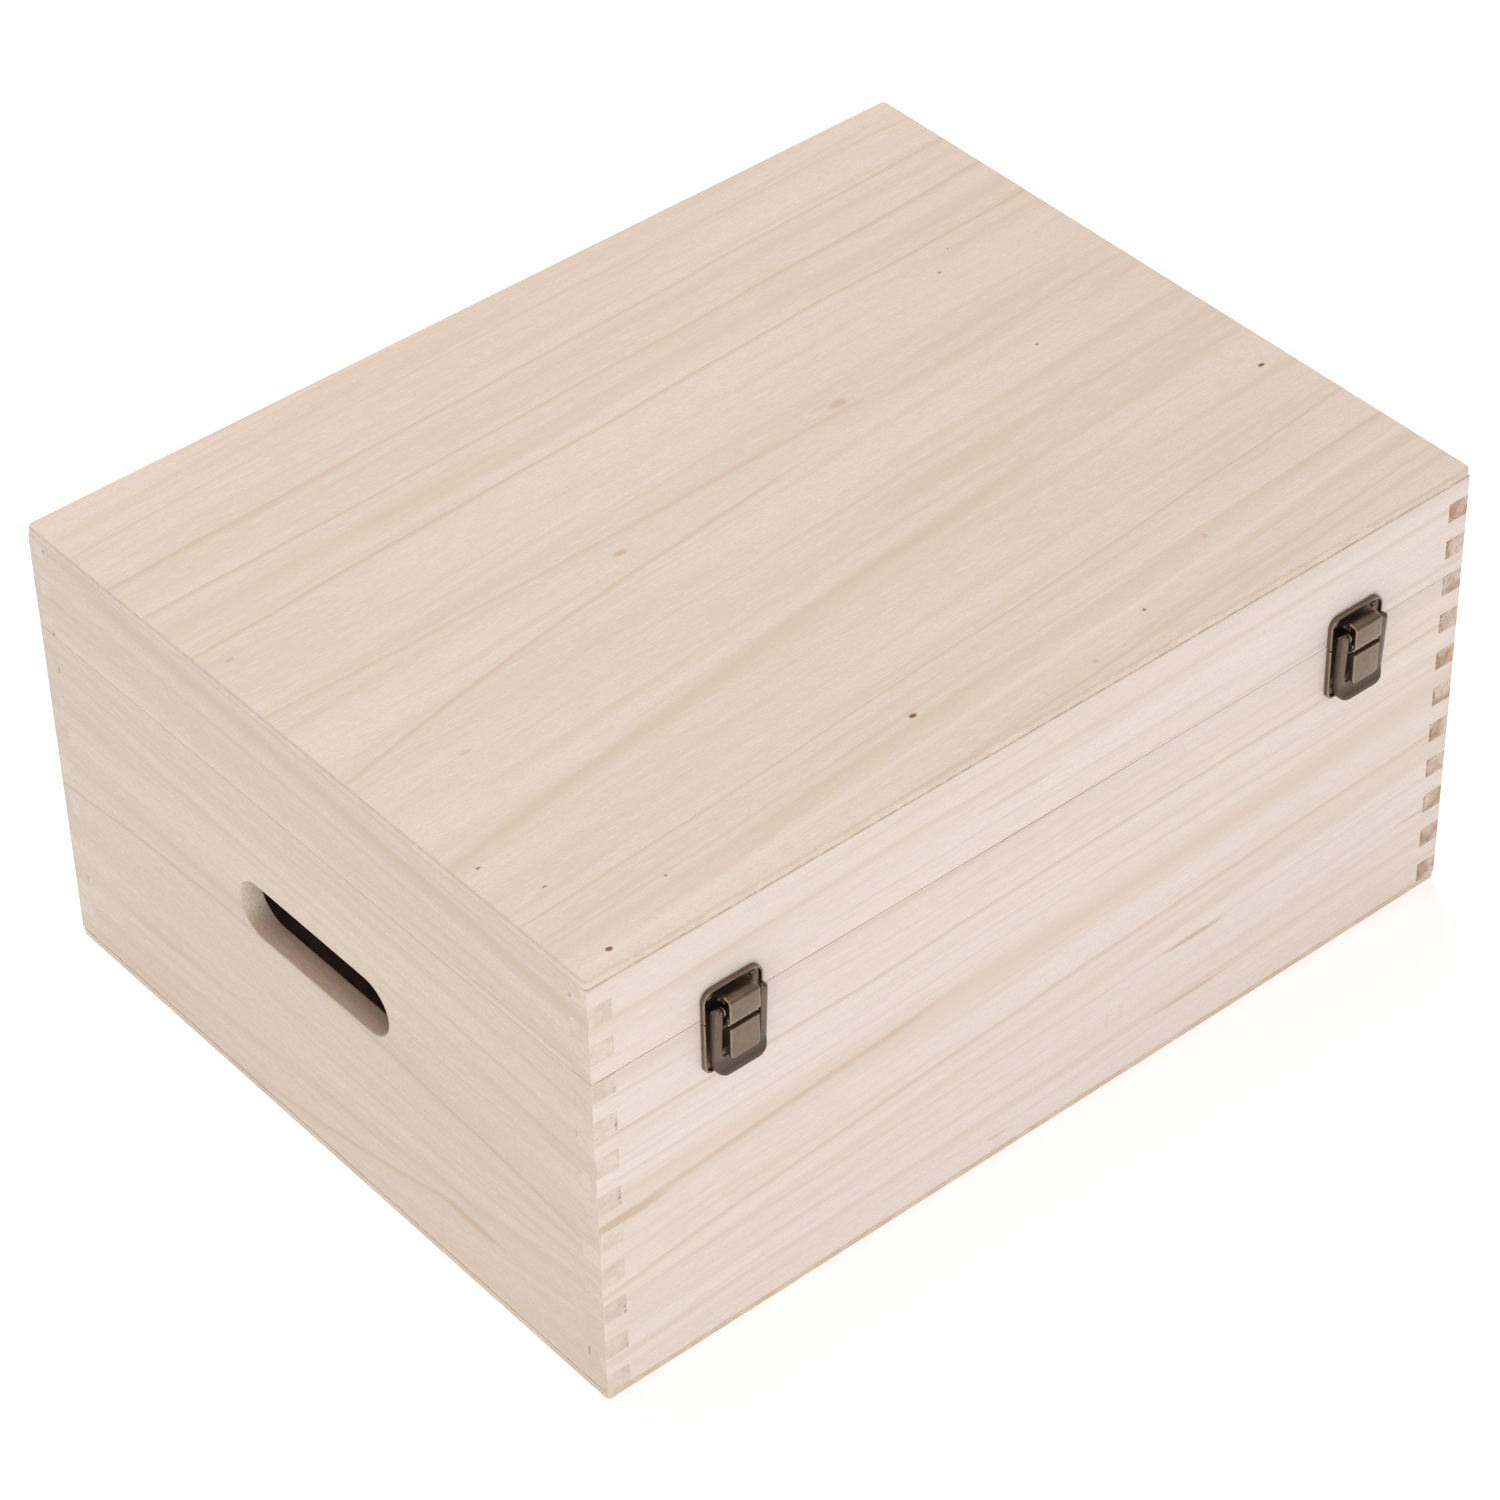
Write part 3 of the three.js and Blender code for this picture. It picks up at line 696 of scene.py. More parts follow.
@dataclass(frozen=True)
class BrassFinish:
    """Antique brass: brown plating, bright on its edges from rubbing and painted highlight, and darker in its
    recesses from tarnished patina and painted shade.

    A pair of heights in millimetres gives painted shade on the lever's lower lip: it begins at the first and
    is full at the second.
    """

    name: str
    plate: Colour
    wearing_and_highlight: Colour
    tarnish_and_shade: Colour
    roughness: float = 0.36
    wear_and_sheen: float = 0.8
    seed: float = 0.0
    lip_shade_heights: Optional[tuple[float, float]] = None

    def material(self, effects: Effects) -> bpy.types.Material:
        """Builds the finish's material.

        Args:
            effects: The shared node groups.

        Returns:
            The material.
        """
        made, tree = new_material(self.name)
        marks = tree.use(effects.wear_and_sheen, Radius=0.0009, Reach=0.0028, Patchiness=0.4, Seed=self.seed).outputs
        place = tree.place()
        brushed = tree.noise(tree.stretched(place, 3.0, 1.0, 0.35), 1900.0, 3.0, 0.6)
        clouds = tree.smooth(tree.noise(place, 260.0, 2.0), 0.35, 0.65, 0.0, 0.3)
        colour = tree.mix(tree.smooth(marks["Patches"], 0.35, 0.75, 0.0, 0.2), self.plate, self.tarnish_and_shade)
        colour = tree.mix(clouds, colour, tinted(self.plate, 0.62, 0.66, 0.78))
        # Painted sheen and rubbing near the edges: the plating is lightened there.
        rub_and_sheen = tree.times(marks["Edge Sheen And Rubbing"], 0.5 * self.wear_and_sheen)
        colour = tree.mix(rub_and_sheen, colour, tinted(self.plate, 1.5, 1.5, 1.5))
        # Edges: brass bared by rubbing and painted highlight, in one colour.
        colour = tree.mix(tree.times(marks["Worn"], self.wear_and_sheen), colour, self.wearing_and_highlight)
        # Recesses: tarnished patina and painted shade.
        colour = tree.mix(tree.times(marks["Sunk Patina And Shade"], 0.3), colour, self.tarnish_and_shade)
        # Painted shade on the lever's lower lip, below the given heights, in the dark colour.
        if self.lip_shade_heights:
            height = tree.times(tree.split(place)[2], 1 / MM)
            lip_shade = tree.smooth(height, *self.lip_shade_heights, 0.0, 0.72)
            colour = tree.mix(lip_shade, colour, self.tarnish_and_shade)
        rough = tree.math("MULTIPLY_ADD", marks["Patches"], 0.16, self.roughness - 0.08)
        rough = tree.math("MULTIPLY_ADD", marks["Worn"], -0.12, rough, clamp=True)
        metal = tree.math("MULTIPLY_ADD", marks["Sunk Patina And Shade"], -0.5, 1.0, clamp=True)
        height = tree.math("MULTIPLY_ADD", brushed, 0.4, marks["Patches"])
        bump = tree.bump(0.22, 0.00008, height)
        tree.surface(Base_Color=colour, Metallic=metal, Roughness=rough, Normal=bump)
        return made


# --------------------------------------------------------------------------------------------------
# Mesh code
# --------------------------------------------------------------------------------------------------


class Plane(Enum):
    """The plane that an outline is drawn in, with the axis it is thickened along."""

    XZ = "front"
    YZ = "side"
    XY = "flat"

    def place(self, u: float, v: float, w: float) -> Vector:
        """A point in metres from its outline position and its place through the thickness."""
        if self is Plane.XZ:
            return Vector((u, w, v)) * MM
        if self is Plane.YZ:
            return Vector((w, u, v)) * MM
        return Vector((u, v, w)) * MM


def slab(plane: Plane, outline: Sequence[tuple[float, float]], low: float, high: float,
         hole: Sequence[tuple[float, float]] = ()) -> bmesh.types.BMesh:
    """A flat board from an outline, with at most one hole.

    Args:
        plane: The plane that the outline is drawn in.
        outline: The outline's points, in millimetres.
        low: Where the thickness begins.
        high: Where it ends.
        hole: The hole's points.

    Returns:
        The closed mesh.
    """
    bm = bmesh.new()
    loops = []
    for points in filter(None, (outline, hole)):
        made = [bm.verts.new(plane.place(u, v, low)) for u, v in points]
        loops += [bm.edges.new((a, b)) for a, b in zip(made, made[1:] + made[:1])]
    if hole:
        bmesh.ops.triangle_fill(bm, edges=loops, use_beauty=True)
    else:
        bm.faces.new(bm.verts)
    raised = bmesh.ops.extrude_face_region(bm, geom=list(bm.faces))
    shift = plane.place(0, 0, high - low)
    bmesh.ops.translate(bm, vec=shift, verts=[v for v in raised["geom"] if isinstance(v, bmesh.types.BMVert)])
    bmesh.ops.recalc_face_normals(bm, faces=list(bm.faces))
    return bm


def ease(bm: bmesh.types.BMesh, picked: Callable[[bmesh.types.BMEdge], bool], width: float,
         steps: int = 2) -> None:
    """Rounds the edges that are picked.

    Args:
        bm: The mesh.
        picked: Says whether an edge is rounded.
        width: The rounding's width, in millimetres.
        steps: Its steps.
    """
    edges = [e for e in bm.edges if len(e.link_faces) == 2 and picked(e)]
    if edges:
        bmesh.ops.bevel(bm, geom=edges, offset=width * MM, segments=steps, profile=0.5, affect="EDGES",
                        clamp_overlap=False)


def arc(centre: tuple[float, float], radius: float, start: float, end: float,
        steps: int = 8) -> list[tuple[float, float]]:
    """Points on an arc.

    Args:
        centre: Its centre.
        radius: Its radius.
        start: The angle where it starts, in degrees.
        end: The angle where it ends.
        steps: Its steps.

    Returns:
        The points, both ends among them.
    """
    angles = [math.radians(start + (end - start) * step / steps) for step in range(steps + 1)]
    return [(centre[0] + radius * math.cos(a), centre[1] + radius * math.sin(a)) for a in angles]


def turned(edge: bmesh.types.BMEdge, least: float = 30.0) -> bool:
    """Whether an edge turns by more than an angle in degrees."""
    return len(edge.link_faces) == 2 and edge.calc_face_angle(0.0) > math.radians(least)


def near(value: float, target: float, slack: float = 0.02) -> bool:
    """Whether a length in metres is a length in millimetres, within some slack in millimetres."""
    return abs(value / MM - target) < slack


def finish_piece(bm: bmesh.types.BMesh, name: str, body: str, nodes: Sequence[str],
                 materials: Sequence[bpy.types.Material],
                 index: Callable[[bmesh.types.BMFace], int] = lambda face: 0) -> bpy.types.Object:
    """Turns a mesh into a piece of the box.

    Args:
        bm: The mesh, which is freed.
        name: The piece's name.
        body: The body it rides on.
        nodes: The frame's nodes that it stands for.
        materials: Its materials.
        index: Which of them each face takes.

    Returns:
        The piece.
    """
    for face in bm.faces:
        face.smooth = True
        face.material_index = index(face)
    mesh = bpy.data.meshes.new(name)
    bm.to_mesh(mesh)
    bm.free()
    mesh.set_sharp_from_angle(angle=math.radians(32))
    for material in materials:
        mesh.materials.append(material)
    piece = bpy.data.objects.new(name, mesh)
    bpy.context.scene.collection.objects.link(piece)
    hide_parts(*nodes)
    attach(piece, body)
    LOG.info("%s: %d faces, rides on %s", name, len(mesh.polygons), body)
    return piece


# --------------------------------------------------------------------------------------------------
# Woodwork
# --------------------------------------------------------------------------------------------------


@dataclass
class Woodwork:
    """What the base and the lid share: four finger-jointed boards and a thin panel, in millimetres."""

    body: str
    bottom: float
    top: float
    rows: int
    side_first: bool
    finishes: dict[str, bpy.types.Material]
    half_length: float = HALF_LENGTH
    half_depth: float = HALF_DEPTH
    board: float = 9.6
    joint_gap: float = 0.03
    corner_ease: float = 0.55
    rim_ease: float = 0.1

    def _runs(self, row: int, side: bool) -> bool:
        """Whether a row's finger belongs to the board that is asked for."""
        return (row % 2 == 0) == (side == self.side_first)

    def _outline(self, half: float, side: bool) -> list[tuple[float, float]]:
        """A board's outline with its fingers.

        Args:
            half: Half the board's full length.
            side: Whether it is a side board.

        Returns:
            The outline's points.
        """
        pitch = (self.top - self.bottom) / self.rows
        edge = []
        for row in range(self.rows):
            runs = self._runs(row, side)
            reach = half if runs else half - self.board - self.joint_gap
            trim = -self.joint_gap if runs else self.joint_gap
            low = self.bottom + row * pitch - (trim if row else 0.0)
            high = self.bottom + (row + 1) * pitch + (trim if row < self.rows - 1 else 0.0)
            edge += [(reach, low), (reach, high)]
        return edge + [(-u, v) for u, v in reversed(edge)]

    def _rounded(self, bm: bmesh.types.BMesh) -> None:
        """Eases the box's upright corners and the boards' rims at the lid line.

        Args:
            bm: The board's mesh.
        """
        def upright(edge: bmesh.types.BMEdge) -> bool:
            """Whether an edge lies on one of the box's four upright corners."""
            return all(near(abs(v.co.x), self.half_length) and near(abs(v.co.y), self.half_depth)
                       for v in edge.verts)

        def rim(edge: bmesh.types.BMEdge) -> bool:
            """Whether an edge runs round the outside or inside of the lid line."""
            line = self.top if self.body == "base" else self.bottom
            return turned(edge) and all(near(v.co.z, line) for v in edge.verts)

        ease(bm, rim, self.rim_ease)
        ease(bm, upright, self.corner_ease, 3)

    def _grain_end(self, axis: int) -> Callable[[bmesh.types.BMFace], int]:
        """Which material a board's face takes: 1 for end grain, where it faces along the grain."""
        return lambda face: 1 if abs(face.normal[axis]) > 0.8 else 0

    def boards(self) -> None:
        """Makes the four boards."""
        for name, sign in (("front", -1), ("back", 1)):
            outer = sign * self.half_depth
            inner = sign * (self.half_depth - self.board)
            bm = slab(Plane.XZ, self._outline(self.half_length, False), min(outer, inner), max(outer, inner))
            self._rounded(bm)
            node = f"{self.body}_{name}_board"
            finish_piece(bm, f"{node}_wood", self.body, [node],
                         [self.finishes[name], self.finishes[f"{name}_end"]], self._grain_end(0))
        for name, sign in (("left", -1), ("right", 1)):
            outer = sign * self.half_length
            inner = sign * (self.half_length - self.board)
            bm = slab(Plane.YZ, self._outline(self.half_depth, True), min(outer, inner), max(outer, inner),
                      self.hand_hole())
            self._rounded(bm)
            self.ease_hole(bm)
            node = f"{self.body}_{name}_board"
            finish_piece(bm, f"{node}_wood", self.body, [node],
                         [self.finishes[name], self.finishes[f"{name}_end"], self.finishes["hole_wall"]],
                         self._side_face)

    def _side_face(self, face: bmesh.types.BMFace) -> int:
        """Which material a side board's face takes: 1 for end grain and 2 inside the hole."""
        if self.in_hole(face.calc_center_median()) and abs(face.normal.x) < 0.6:
            return 2
        return self._grain_end(1)(face)

    def in_hole(self, place: Vector) -> bool:
        """Whether a place lies in the hand hole, if there is one."""
        return False

    def hand_hole(self) -> list[tuple[float, float]]:
        """The hole through a side board, if it has one."""
        return []

    def ease_hole(self, bm: bmesh.types.BMesh) -> None:
        """Rounds the hole's rim, if there is a hole."""

    def panel(self, node: str, low: float, high: float, corner: float, rounding: float, steps: int) -> None:
        """Makes a thin panel with rounded plan corners.

        Args:
            node: The frame's node.
            low: Its lower face.
            high: Its upper face.
            corner: Its corners' plan radius.
            rounding: How far its outer edges are rounded.
            steps: The rounding's steps.
        """
        outline = []
        for sx, sy, first in ((1, 1, 0), (-1, 1, 90), (-1, -1, 180), (1, -1, 270)):
            centre = (sx * (self.half_length - corner), sy * (self.half_depth - corner))
            for step in range(7):
                angle = math.radians(first + 15 * step)
                outline.append((centre[0] + corner * math.cos(angle), centre[1] + corner * math.sin(angle)))
        bm = slab(Plane.XY, outline, low, high)
        outer_face = high if node.startswith("lid") else low
        ease(bm, lambda e: all(near(v.co.z, outer_face) for v in e.verts), rounding, steps)

        def side(face: bmesh.types.BMFace) -> int:
            """0 on the flats, 1 on the ends and 2 along the long edges."""
            if abs(face.normal.z) > 0.75:
                return 0
            return 1 if abs(face.normal.x) > abs(face.normal.y) else 2

        sheet = "top" if self.body == "lid" else "bottom"
        finish_piece(bm, f"{node}_sheet", self.body, [node],
                     [self.finishes[name] for name in (sheet, f"{sheet}_end", f"{sheet}_edge")], side)


@dataclass
class Base(Woodwork):
    """The base: four boards with a hand hole in each end, on a thin bottom panel."""

    body: str = "base"
    bottom: float = 2.97
    top: float = 148.76
    rows: int = 17
    side_first: bool = True
    finishes: dict[str, bpy.types.Material] = field(default_factory=dict)
    hole_length: float = 86.0
    hole_height: float = 24.4
    hole_centre: float = 95.5
    hole_ease: float = 0.5

    def hand_hole(self) -> list[tuple[float, float]]:
        """The hand hole's outline, a slot with round ends."""
        radius = self.hole_height / 2
        reach = self.hole_length / 2 - radius
        points = []
        for centre, first in ((reach, -90), (-reach, 90)):
            for step in range(17):
                angle = math.radians(first + 11.25 * step)
                rise = radius * math.sin(angle)
                points.append((centre + radius * math.cos(angle), self.hole_centre + rise))
        return points

    def ease_hole(self, bm: bmesh.types.BMesh) -> None:
        """Rounds the hand hole's two rims.

        Args:
            bm: The side board's mesh.
        """
        ease(bm, lambda edge: turned(edge) and all(self.in_hole(v.co) for v in edge.verts), self.hole_ease, 3)

    def in_hole(self, place: Vector) -> bool:
        """Whether a place lies in the hand hole or on its rim."""
        return (abs(place.y) / MM < self.hole_length / 2 + 0.1
                and abs(place.z / MM - self.hole_centre) < self.hole_height / 2 + 0.1)

    def build(self) -> None:
        """Makes the base's woodwork."""
        self.boards()
        self.panel("base_bottom_panel", 0.0, 2.88, 1.8, 0.4, 2)


@dataclass
class Lid(Woodwork):
    """The lid: four boards under a thin top panel."""

    body: str = "lid"
    bottom: float = 148.85
    top: float = 190.0
    rows: int = 5
    side_first: bool = False
    finishes: dict[str, bpy.types.Material] = field(default_factory=dict)

    def build(self) -> None:
        """Makes the lid's woodwork."""
        self.boards()
        self.panel("lid_top_panel", 190.12, HEIGHT, 2.2, 1.1, 4)


# --------------------------------------------------------------------------------------------------
# Metalwork
# --------------------------------------------------------------------------------------------------


@dataclass
class Metalwork:
    """What the latches and hinges share: pressed and turned brass parts with rounded edges."""

    side: str
    brass: bpy.types.Material
    dark: bpy.types.Material

    def dressed(self, frame: dict, node: str, body: str, material: bpy.types.Material, slot: str,
                width: float, steps: int = 2, seat: Optional[float] = None) -> bpy.types.Object:
        """Makes a part with rounded edges in a frame node's place.

        Args:
            node: The frame's node.
            body: The body it rides on.
            material: Its finish.
            slot: The record's material slot; not used.
            width: How far its edges are rounded, in millimetres.
            steps: The rounding's steps.
            seat: Where the box's face is that the part's back is bedded on, in millimetres along Y.

        Returns:
            The piece.
        """
        bm = bmesh.new()
        bm.from_mesh(frame["nodes"][node].data)
        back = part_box(node)[1].y
        for vert in bm.verts:
            if seat is not None and near(vert.co.y, back / MM):
                vert.co.y = seat * MM
        bmesh.ops.remove_doubles(bm, verts=list(bm.verts), dist=0.004 * MM)
        bmesh.ops.dissolve_limit(bm, angle_limit=math.radians(1.0), verts=list(bm.verts),
                                 edges=list(bm.edges))
        bmesh.ops.recalc_face_normals(bm, faces=list(bm.faces))
        ease(bm, turned, width, steps)
        bmesh.ops.triangulate(bm, faces=[f for f in bm.faces if len(f.verts) > 4])
        return finish_piece(bm, f"{node}_brass", body, [node], [material])


@dataclass
class ToggleLatch(Metalwork):
    """A toggle latch: tray plates on the lid and base, a lever with its pad, and the claw over the keeper.

    Heights are measured from the lid line and depths forward from the box's front, in millimetres. The
    lever's U stands forward at its top, leans in towards its slot's bottom, dips and then flares out.
    """

    lever_brass: Optional[bpy.types.Material] = None
    plate_top: float = 12.7
    plate_ease: float = 0.38
    nail_ease: float = 0.2
    lever_half: float = 11.2
    lever_top: float = 7.3
    lever_bottom: float = -23.1
    lever_corner: float = 5.0
    arm_round: float = 2.4
    arm_middle: float = 5.3
    lever_back: float = 3.0
    lever_front: float = 6.4
    lever_ease: float = 1.3
    stand: float = 0.5
    lean: float = 1.0
    flare: float = 1.6
    dip: float = 0.5
    slot_half: float = 7.75
    slot_bottom: float = -14.8
    pad_half: float = 6.2
    pad_top: float = -2.7
    pad_bottom: float = -15.9
    pad_back: float = 4.6
    pad_front: float = 7.75
    pad_corner: float = 1.7
    claw_half: float = 6.5
    claw_top: float = 9.5
    claw_bottom: float = 0.4
    claw_front: float = 8.0
    claw_back: float = 2.5
    claw_sheet: float = 0.9
    claw_tongue: float = 0.8
    claw_pin_depth: float = 5.7
    claw_pin_height: float = -1.3
    claw_barrel: float = 1.1
    claw_bend: float = 1.3
    claw_taper: float = 1.5
    slot_fillet: float = 1.2
    pad_upper_corner: float = 0.5
    web_lap: float = 0.4
    claw_pin_radius: float = 0.55
    rivet_radius: float = 0.75
    pin_sunk: float = 0.15
    plate_stand: float = 0.02
    origin: Vector = field(default_factory=Vector)

    def place(self) -> None:
        """Finds the latch's origin: the middle of its plates, on the box's front at the lid line."""
        low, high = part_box(f"latch_{self.side}_strike_plate")
        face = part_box("base_front_board")[0].y
        self.origin = Vector(((low.x + high.x) / 2, face, high.z)) / MM - Vector((0.0, 0.0, self.plate_top))

    def _front_slab(self, outline: Sequence[tuple[float, float]], back: float,
                    front: float) -> bmesh.types.BMesh:
        """A plate seen from the front, between two depths."""
        shifted = [(self.origin.x + u, self.origin.z + v) for u, v in outline]
        return slab(Plane.XZ, shifted, self.origin.y - front, self.origin.y - back)

    def _side_slab(self, outline: Sequence[tuple[float, float]], half: float) -> bmesh.types.BMesh:
        """A folded strip from its side outline of depths and heights."""
        shifted = [(self.origin.y - u, self.origin.z + v) for u, v in outline]
        return slab(Plane.YZ, shifted, self.origin.x - half, self.origin.x + half)

    def _pin(self, node: str, body: str, radius: float) -> None:
        """Makes a round pin on a frame node's axis.

        Args:
            node: The frame's node.
            body: The body it rides on.
            radius: The pin's radius.
        """
        low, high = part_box(node)
        middle = (low + high) / 2 / MM
        outline = arc((middle.y, middle.z), radius, 0, 345, 23)
        bm = slab(Plane.YZ, outline, low.x / MM + self.pin_sunk, high.x / MM - self.pin_sunk)
        ease(bm, turned, 0.12, 2)
        finish_piece(bm, f"{node}_brass", body, [node], [self.dark])

    def _on_front(self, depth: float) -> Callable[[bmesh.types.BMEdge], bool]:
        """Picks the edges at a depth."""
        return lambda edge: turned(edge) and all(near(v.co.y, self.origin.y - depth) for v in edge.verts)

    def _frame_shape(self) -> bmesh.types.BMesh:
        """The lever's U: two round arms and the flared finger lip that joins them."""
        half, inner, corner = self.lever_half, self.slot_half, self.lever_corner
        tip = (half - inner) / 2
        fillet = self.slot_fillet
        outline = [
            *arc((corner - half, self.lever_bottom + corner), corner, 180, 270),
            *arc((half - corner, self.lever_bottom + corner), corner, 270, 360),
            *arc((half - tip, self.lever_top - tip), tip, 0, 180, 10),
            *arc((inner - fillet, self.slot_bottom + fillet), fillet, 0, -90, 4),
            *arc((fillet - inner, self.slot_bottom + fillet), fillet, -90, -180, 4),
            *arc((tip - half, self.lever_top - tip), tip, 0, 180, 10),
        ]
        bm = self._front_slab(outline, self.lever_back, self.lever_front)
        ease(bm, self._on_front(self.lever_front), self.lever_ease, 5)
        ease(bm, self._on_front(self.lever_back), 0.3, 2)
        lip = self.lever_bottom - self.slot_bottom
        heights = [self.slot_bottom + lip * step / 15 for step in range(1, 15)]
        heights += [self.lever_top - self.arm_round + 0.3 * step for step in range(4)]
        for height in heights:
            cut = Vector((0.0, 0.0, (self.origin.z + height) * MM))
            whole = [*bm.verts, *bm.edges, *bm.faces]
            bmesh.ops.bisect_plane(bm, geom=whole, plane_co=cut, plane_no=(0, 0, 1))
        middle = (self.origin.y - self.arm_middle) * MM
        for vert in bm.verts:
            height = vert.co.z / MM - self.origin.z
            rise = max(0.0, height - self.lever_top + self.arm_round) / self.arm_round
            vert.co.y = middle + (vert.co.y - middle) * math.sqrt(1 - 0.88 * min(1.0, rise) ** 2)
            vert.co.y -= self._forward(height) * MM
        return bm

    def _forward(self, height: float) -> float:
        """How far the lever's U stands forward at a height: it leans in, then its lip flares out."""
        span = self.lever_top - self.slot_bottom
        leaned = self.stand - self.lean * min(1.0, (self.lever_top - height) / span)
        down = max(0.0, (self.slot_bottom - height) / (self.slot_bottom - self.lever_bottom))
        dipped = self.dip * math.sin(math.pi * min(1.0, down * 1.3))
        return leaned - dipped + self.flare * down ** 2

    def _pad_shape(self) -> bmesh.types.BMesh:
        """The raised pad in the lever's middle, with round lower corners."""
        half, corner, upper = self.pad_half, self.pad_corner, self.pad_upper_corner
        outline = [
            *arc((corner - half, self.pad_bottom + corner), corner, 180, 270, 6),
            *arc((half - corner, self.pad_bottom + corner), corner, 270, 360, 6),
            *arc((half - upper, self.pad_top - upper), upper, 0, 90, 3),
            *arc((upper - half, self.pad_top - upper), upper, 90, 180, 3),
        ]
        bm = self._front_slab(outline, self.pad_back, self.pad_front)
        ease(bm, self._on_front(self.pad_front), 0.42, 3)
        return bm

    def _web_shape(self) -> bmesh.types.BMesh:
        """The sunk web behind the pad, which ties it to the U."""
        wide = self.slot_half + self.web_lap
        narrow = self.pad_half - self.web_lap
        low, wide_top, narrow_from = (self.slot_bottom + rise for rise in (-1.2, 1.6, 3.2))
        right = [(wide, low), (wide, wide_top), (narrow, narrow_from), (narrow, self.pad_top - 0.5)]
        outline = [(-wide, low), *right, *((-u, v) for u, v in reversed(right[1:]))]
        return self._front_slab(outline, self.lever_back + 0.2, self.pad_back + 0.3)

    def _claw_shapes(self) -> list[bmesh.types.BMesh]:
        """The claw: a cap folded back over the keeper, on a stem that rolls round its pin."""
        sheet, bend = self.claw_sheet, self.claw_bend
        front, back, top = self.claw_front, self.claw_back, self.claw_top
        taper = back + self.claw_taper
        outer = [(front, self.claw_bottom), *arc((front - bend, top - bend), bend, 0, 90, 6), (taper, top),
                 (back + 0.5, top), (back, top - 0.5)]
        inner = [(back, top - sheet - 0.4), (back + 0.5, top - sheet), (taper, top - sheet),
                 *arc((front - bend, top - bend), bend - sheet, 90, 0, 4), (front - sheet, self.claw_bottom)]
        cap = self._side_slab(outer + inner, self.claw_half)
        for vert in cap.verts:
            if self.origin.y - vert.co.y / MM < taper - 0.1:
                vert.co.x = (self.origin.x + (vert.co.x / MM - self.origin.x) * self.claw_tongue) * MM
        ease(cap, turned, 0.26, 3)
        depth, height = self.claw_pin_depth, self.claw_pin_height
        low, high = self.claw_bottom + 0.5, self.claw_bottom + 1.3
        strip = [(depth - 0.5, height), (depth + 0.4, height), (depth + 0.4, low), (front - 0.4, low),
                 (front - 0.4, high), (depth - 0.5, high)]
        stem = self._side_slab(strip, self.claw_half - 0.5)
        ease(stem, turned, 0.12, 2)
        barrel = self._side_slab(arc((depth, height), self.claw_barrel, 0, 345, 23), self.claw_half - 0.2)
        return [cap, stem, barrel]

    def _join(self, shapes: Sequence[bmesh.types.BMesh]) -> bmesh.types.BMesh:
        """Puts several closed shapes in one mesh.

        Args:
            shapes: The shapes, all but the first of which are freed.

        Returns:
            The first shape, with the others added.
        """
        whole = shapes[0]
        for shape in shapes[1:]:
            mesh = bpy.data.meshes.new("part")
            shape.to_mesh(mesh)
            shape.free()
            whole.from_mesh(mesh)
            bpy.data.meshes.remove(mesh)
        return whole

    def build(self, frame: dict) -> None:
        """Makes the latch.
        """
        self.place()
        name = f"latch_{self.side}_"
        seat = self.origin.y - self.plate_stand
        for part, body in (("strike_plate", "lid"), ("base_plate", "base")):
            self.dressed(frame, name + part, body, self.brass, "antique_brass", self.plate_ease, 3, seat)
        lever = self._join([self._frame_shape(), self._pad_shape(), self._web_shape()])
        finish_piece(lever, name + "lever_brass", f"lever_{self.side}", [name + "lever"],
                     [self.lever_brass, self.brass], self._on_pad)
        claw = self._join(self._claw_shapes())
        finish_piece(claw, name + "claw_brass", f"claw_{self.side}", [name + "claw"],
                     [self.brass])
        self._pin(name + "claw_pin", f"lever_{self.side}", self.claw_pin_radius)
        for number in (1, 2):
            self._pin(f"{name}pivot_rivet_{number}", "base", self.rivet_radius)
            for part, body in (("strike_nail", "lid"), ("base_nail", "base")):
                self.dressed(frame, f"{name}{part}_{number}", body, self.dark, "dark_brass", self.nail_ease)

    def _on_pad(self, face: bmesh.types.BMFace) -> int:
        """Which finish a face of the lever takes: 1 on the pad, which takes the paler brass, and 0 on the
        darker frame.
        """
        place = face.calc_center_median() / MM - self.origin
        slack = 0.05
        across = abs(place.x) < self.pad_half + slack
        upright = self.pad_bottom - slack < place.z < self.pad_top + slack
        return int(across and upright and -place.y > self.lever_front)


@dataclass
class BackHinge(Metalwork):
    """A butt hinge with a stop, screwed on the back."""

    leaf_ease: float = 0.2
    pin_ease: float = 0.2
    screw_ease: float = 0.2

    def build(self, frame: dict) -> None:
        """Makes the hinge.
        """
        name = f"hinge_{self.side}_"
        self.dressed(frame, name + "base_leaf", "base", self.brass, "antique_brass", self.leaf_ease)
        self.dressed(frame, name + "lid_leaf", "lid", self.brass, "antique_brass", self.leaf_ease)
        self.dressed(frame, name + "pin", "base", self.dark, "dark_brass", self.pin_ease)
        for part in ("base", "lid"):
            for number in (1, 2):
                self.dressed(frame, f"{name}{part}_screw_{number}", part, self.dark, "dark_brass",
                             self.screw_ease)


# --------------------------------------------------------------------------------------------------
# Finishes of this box
# --------------------------------------------------------------------------------------------------


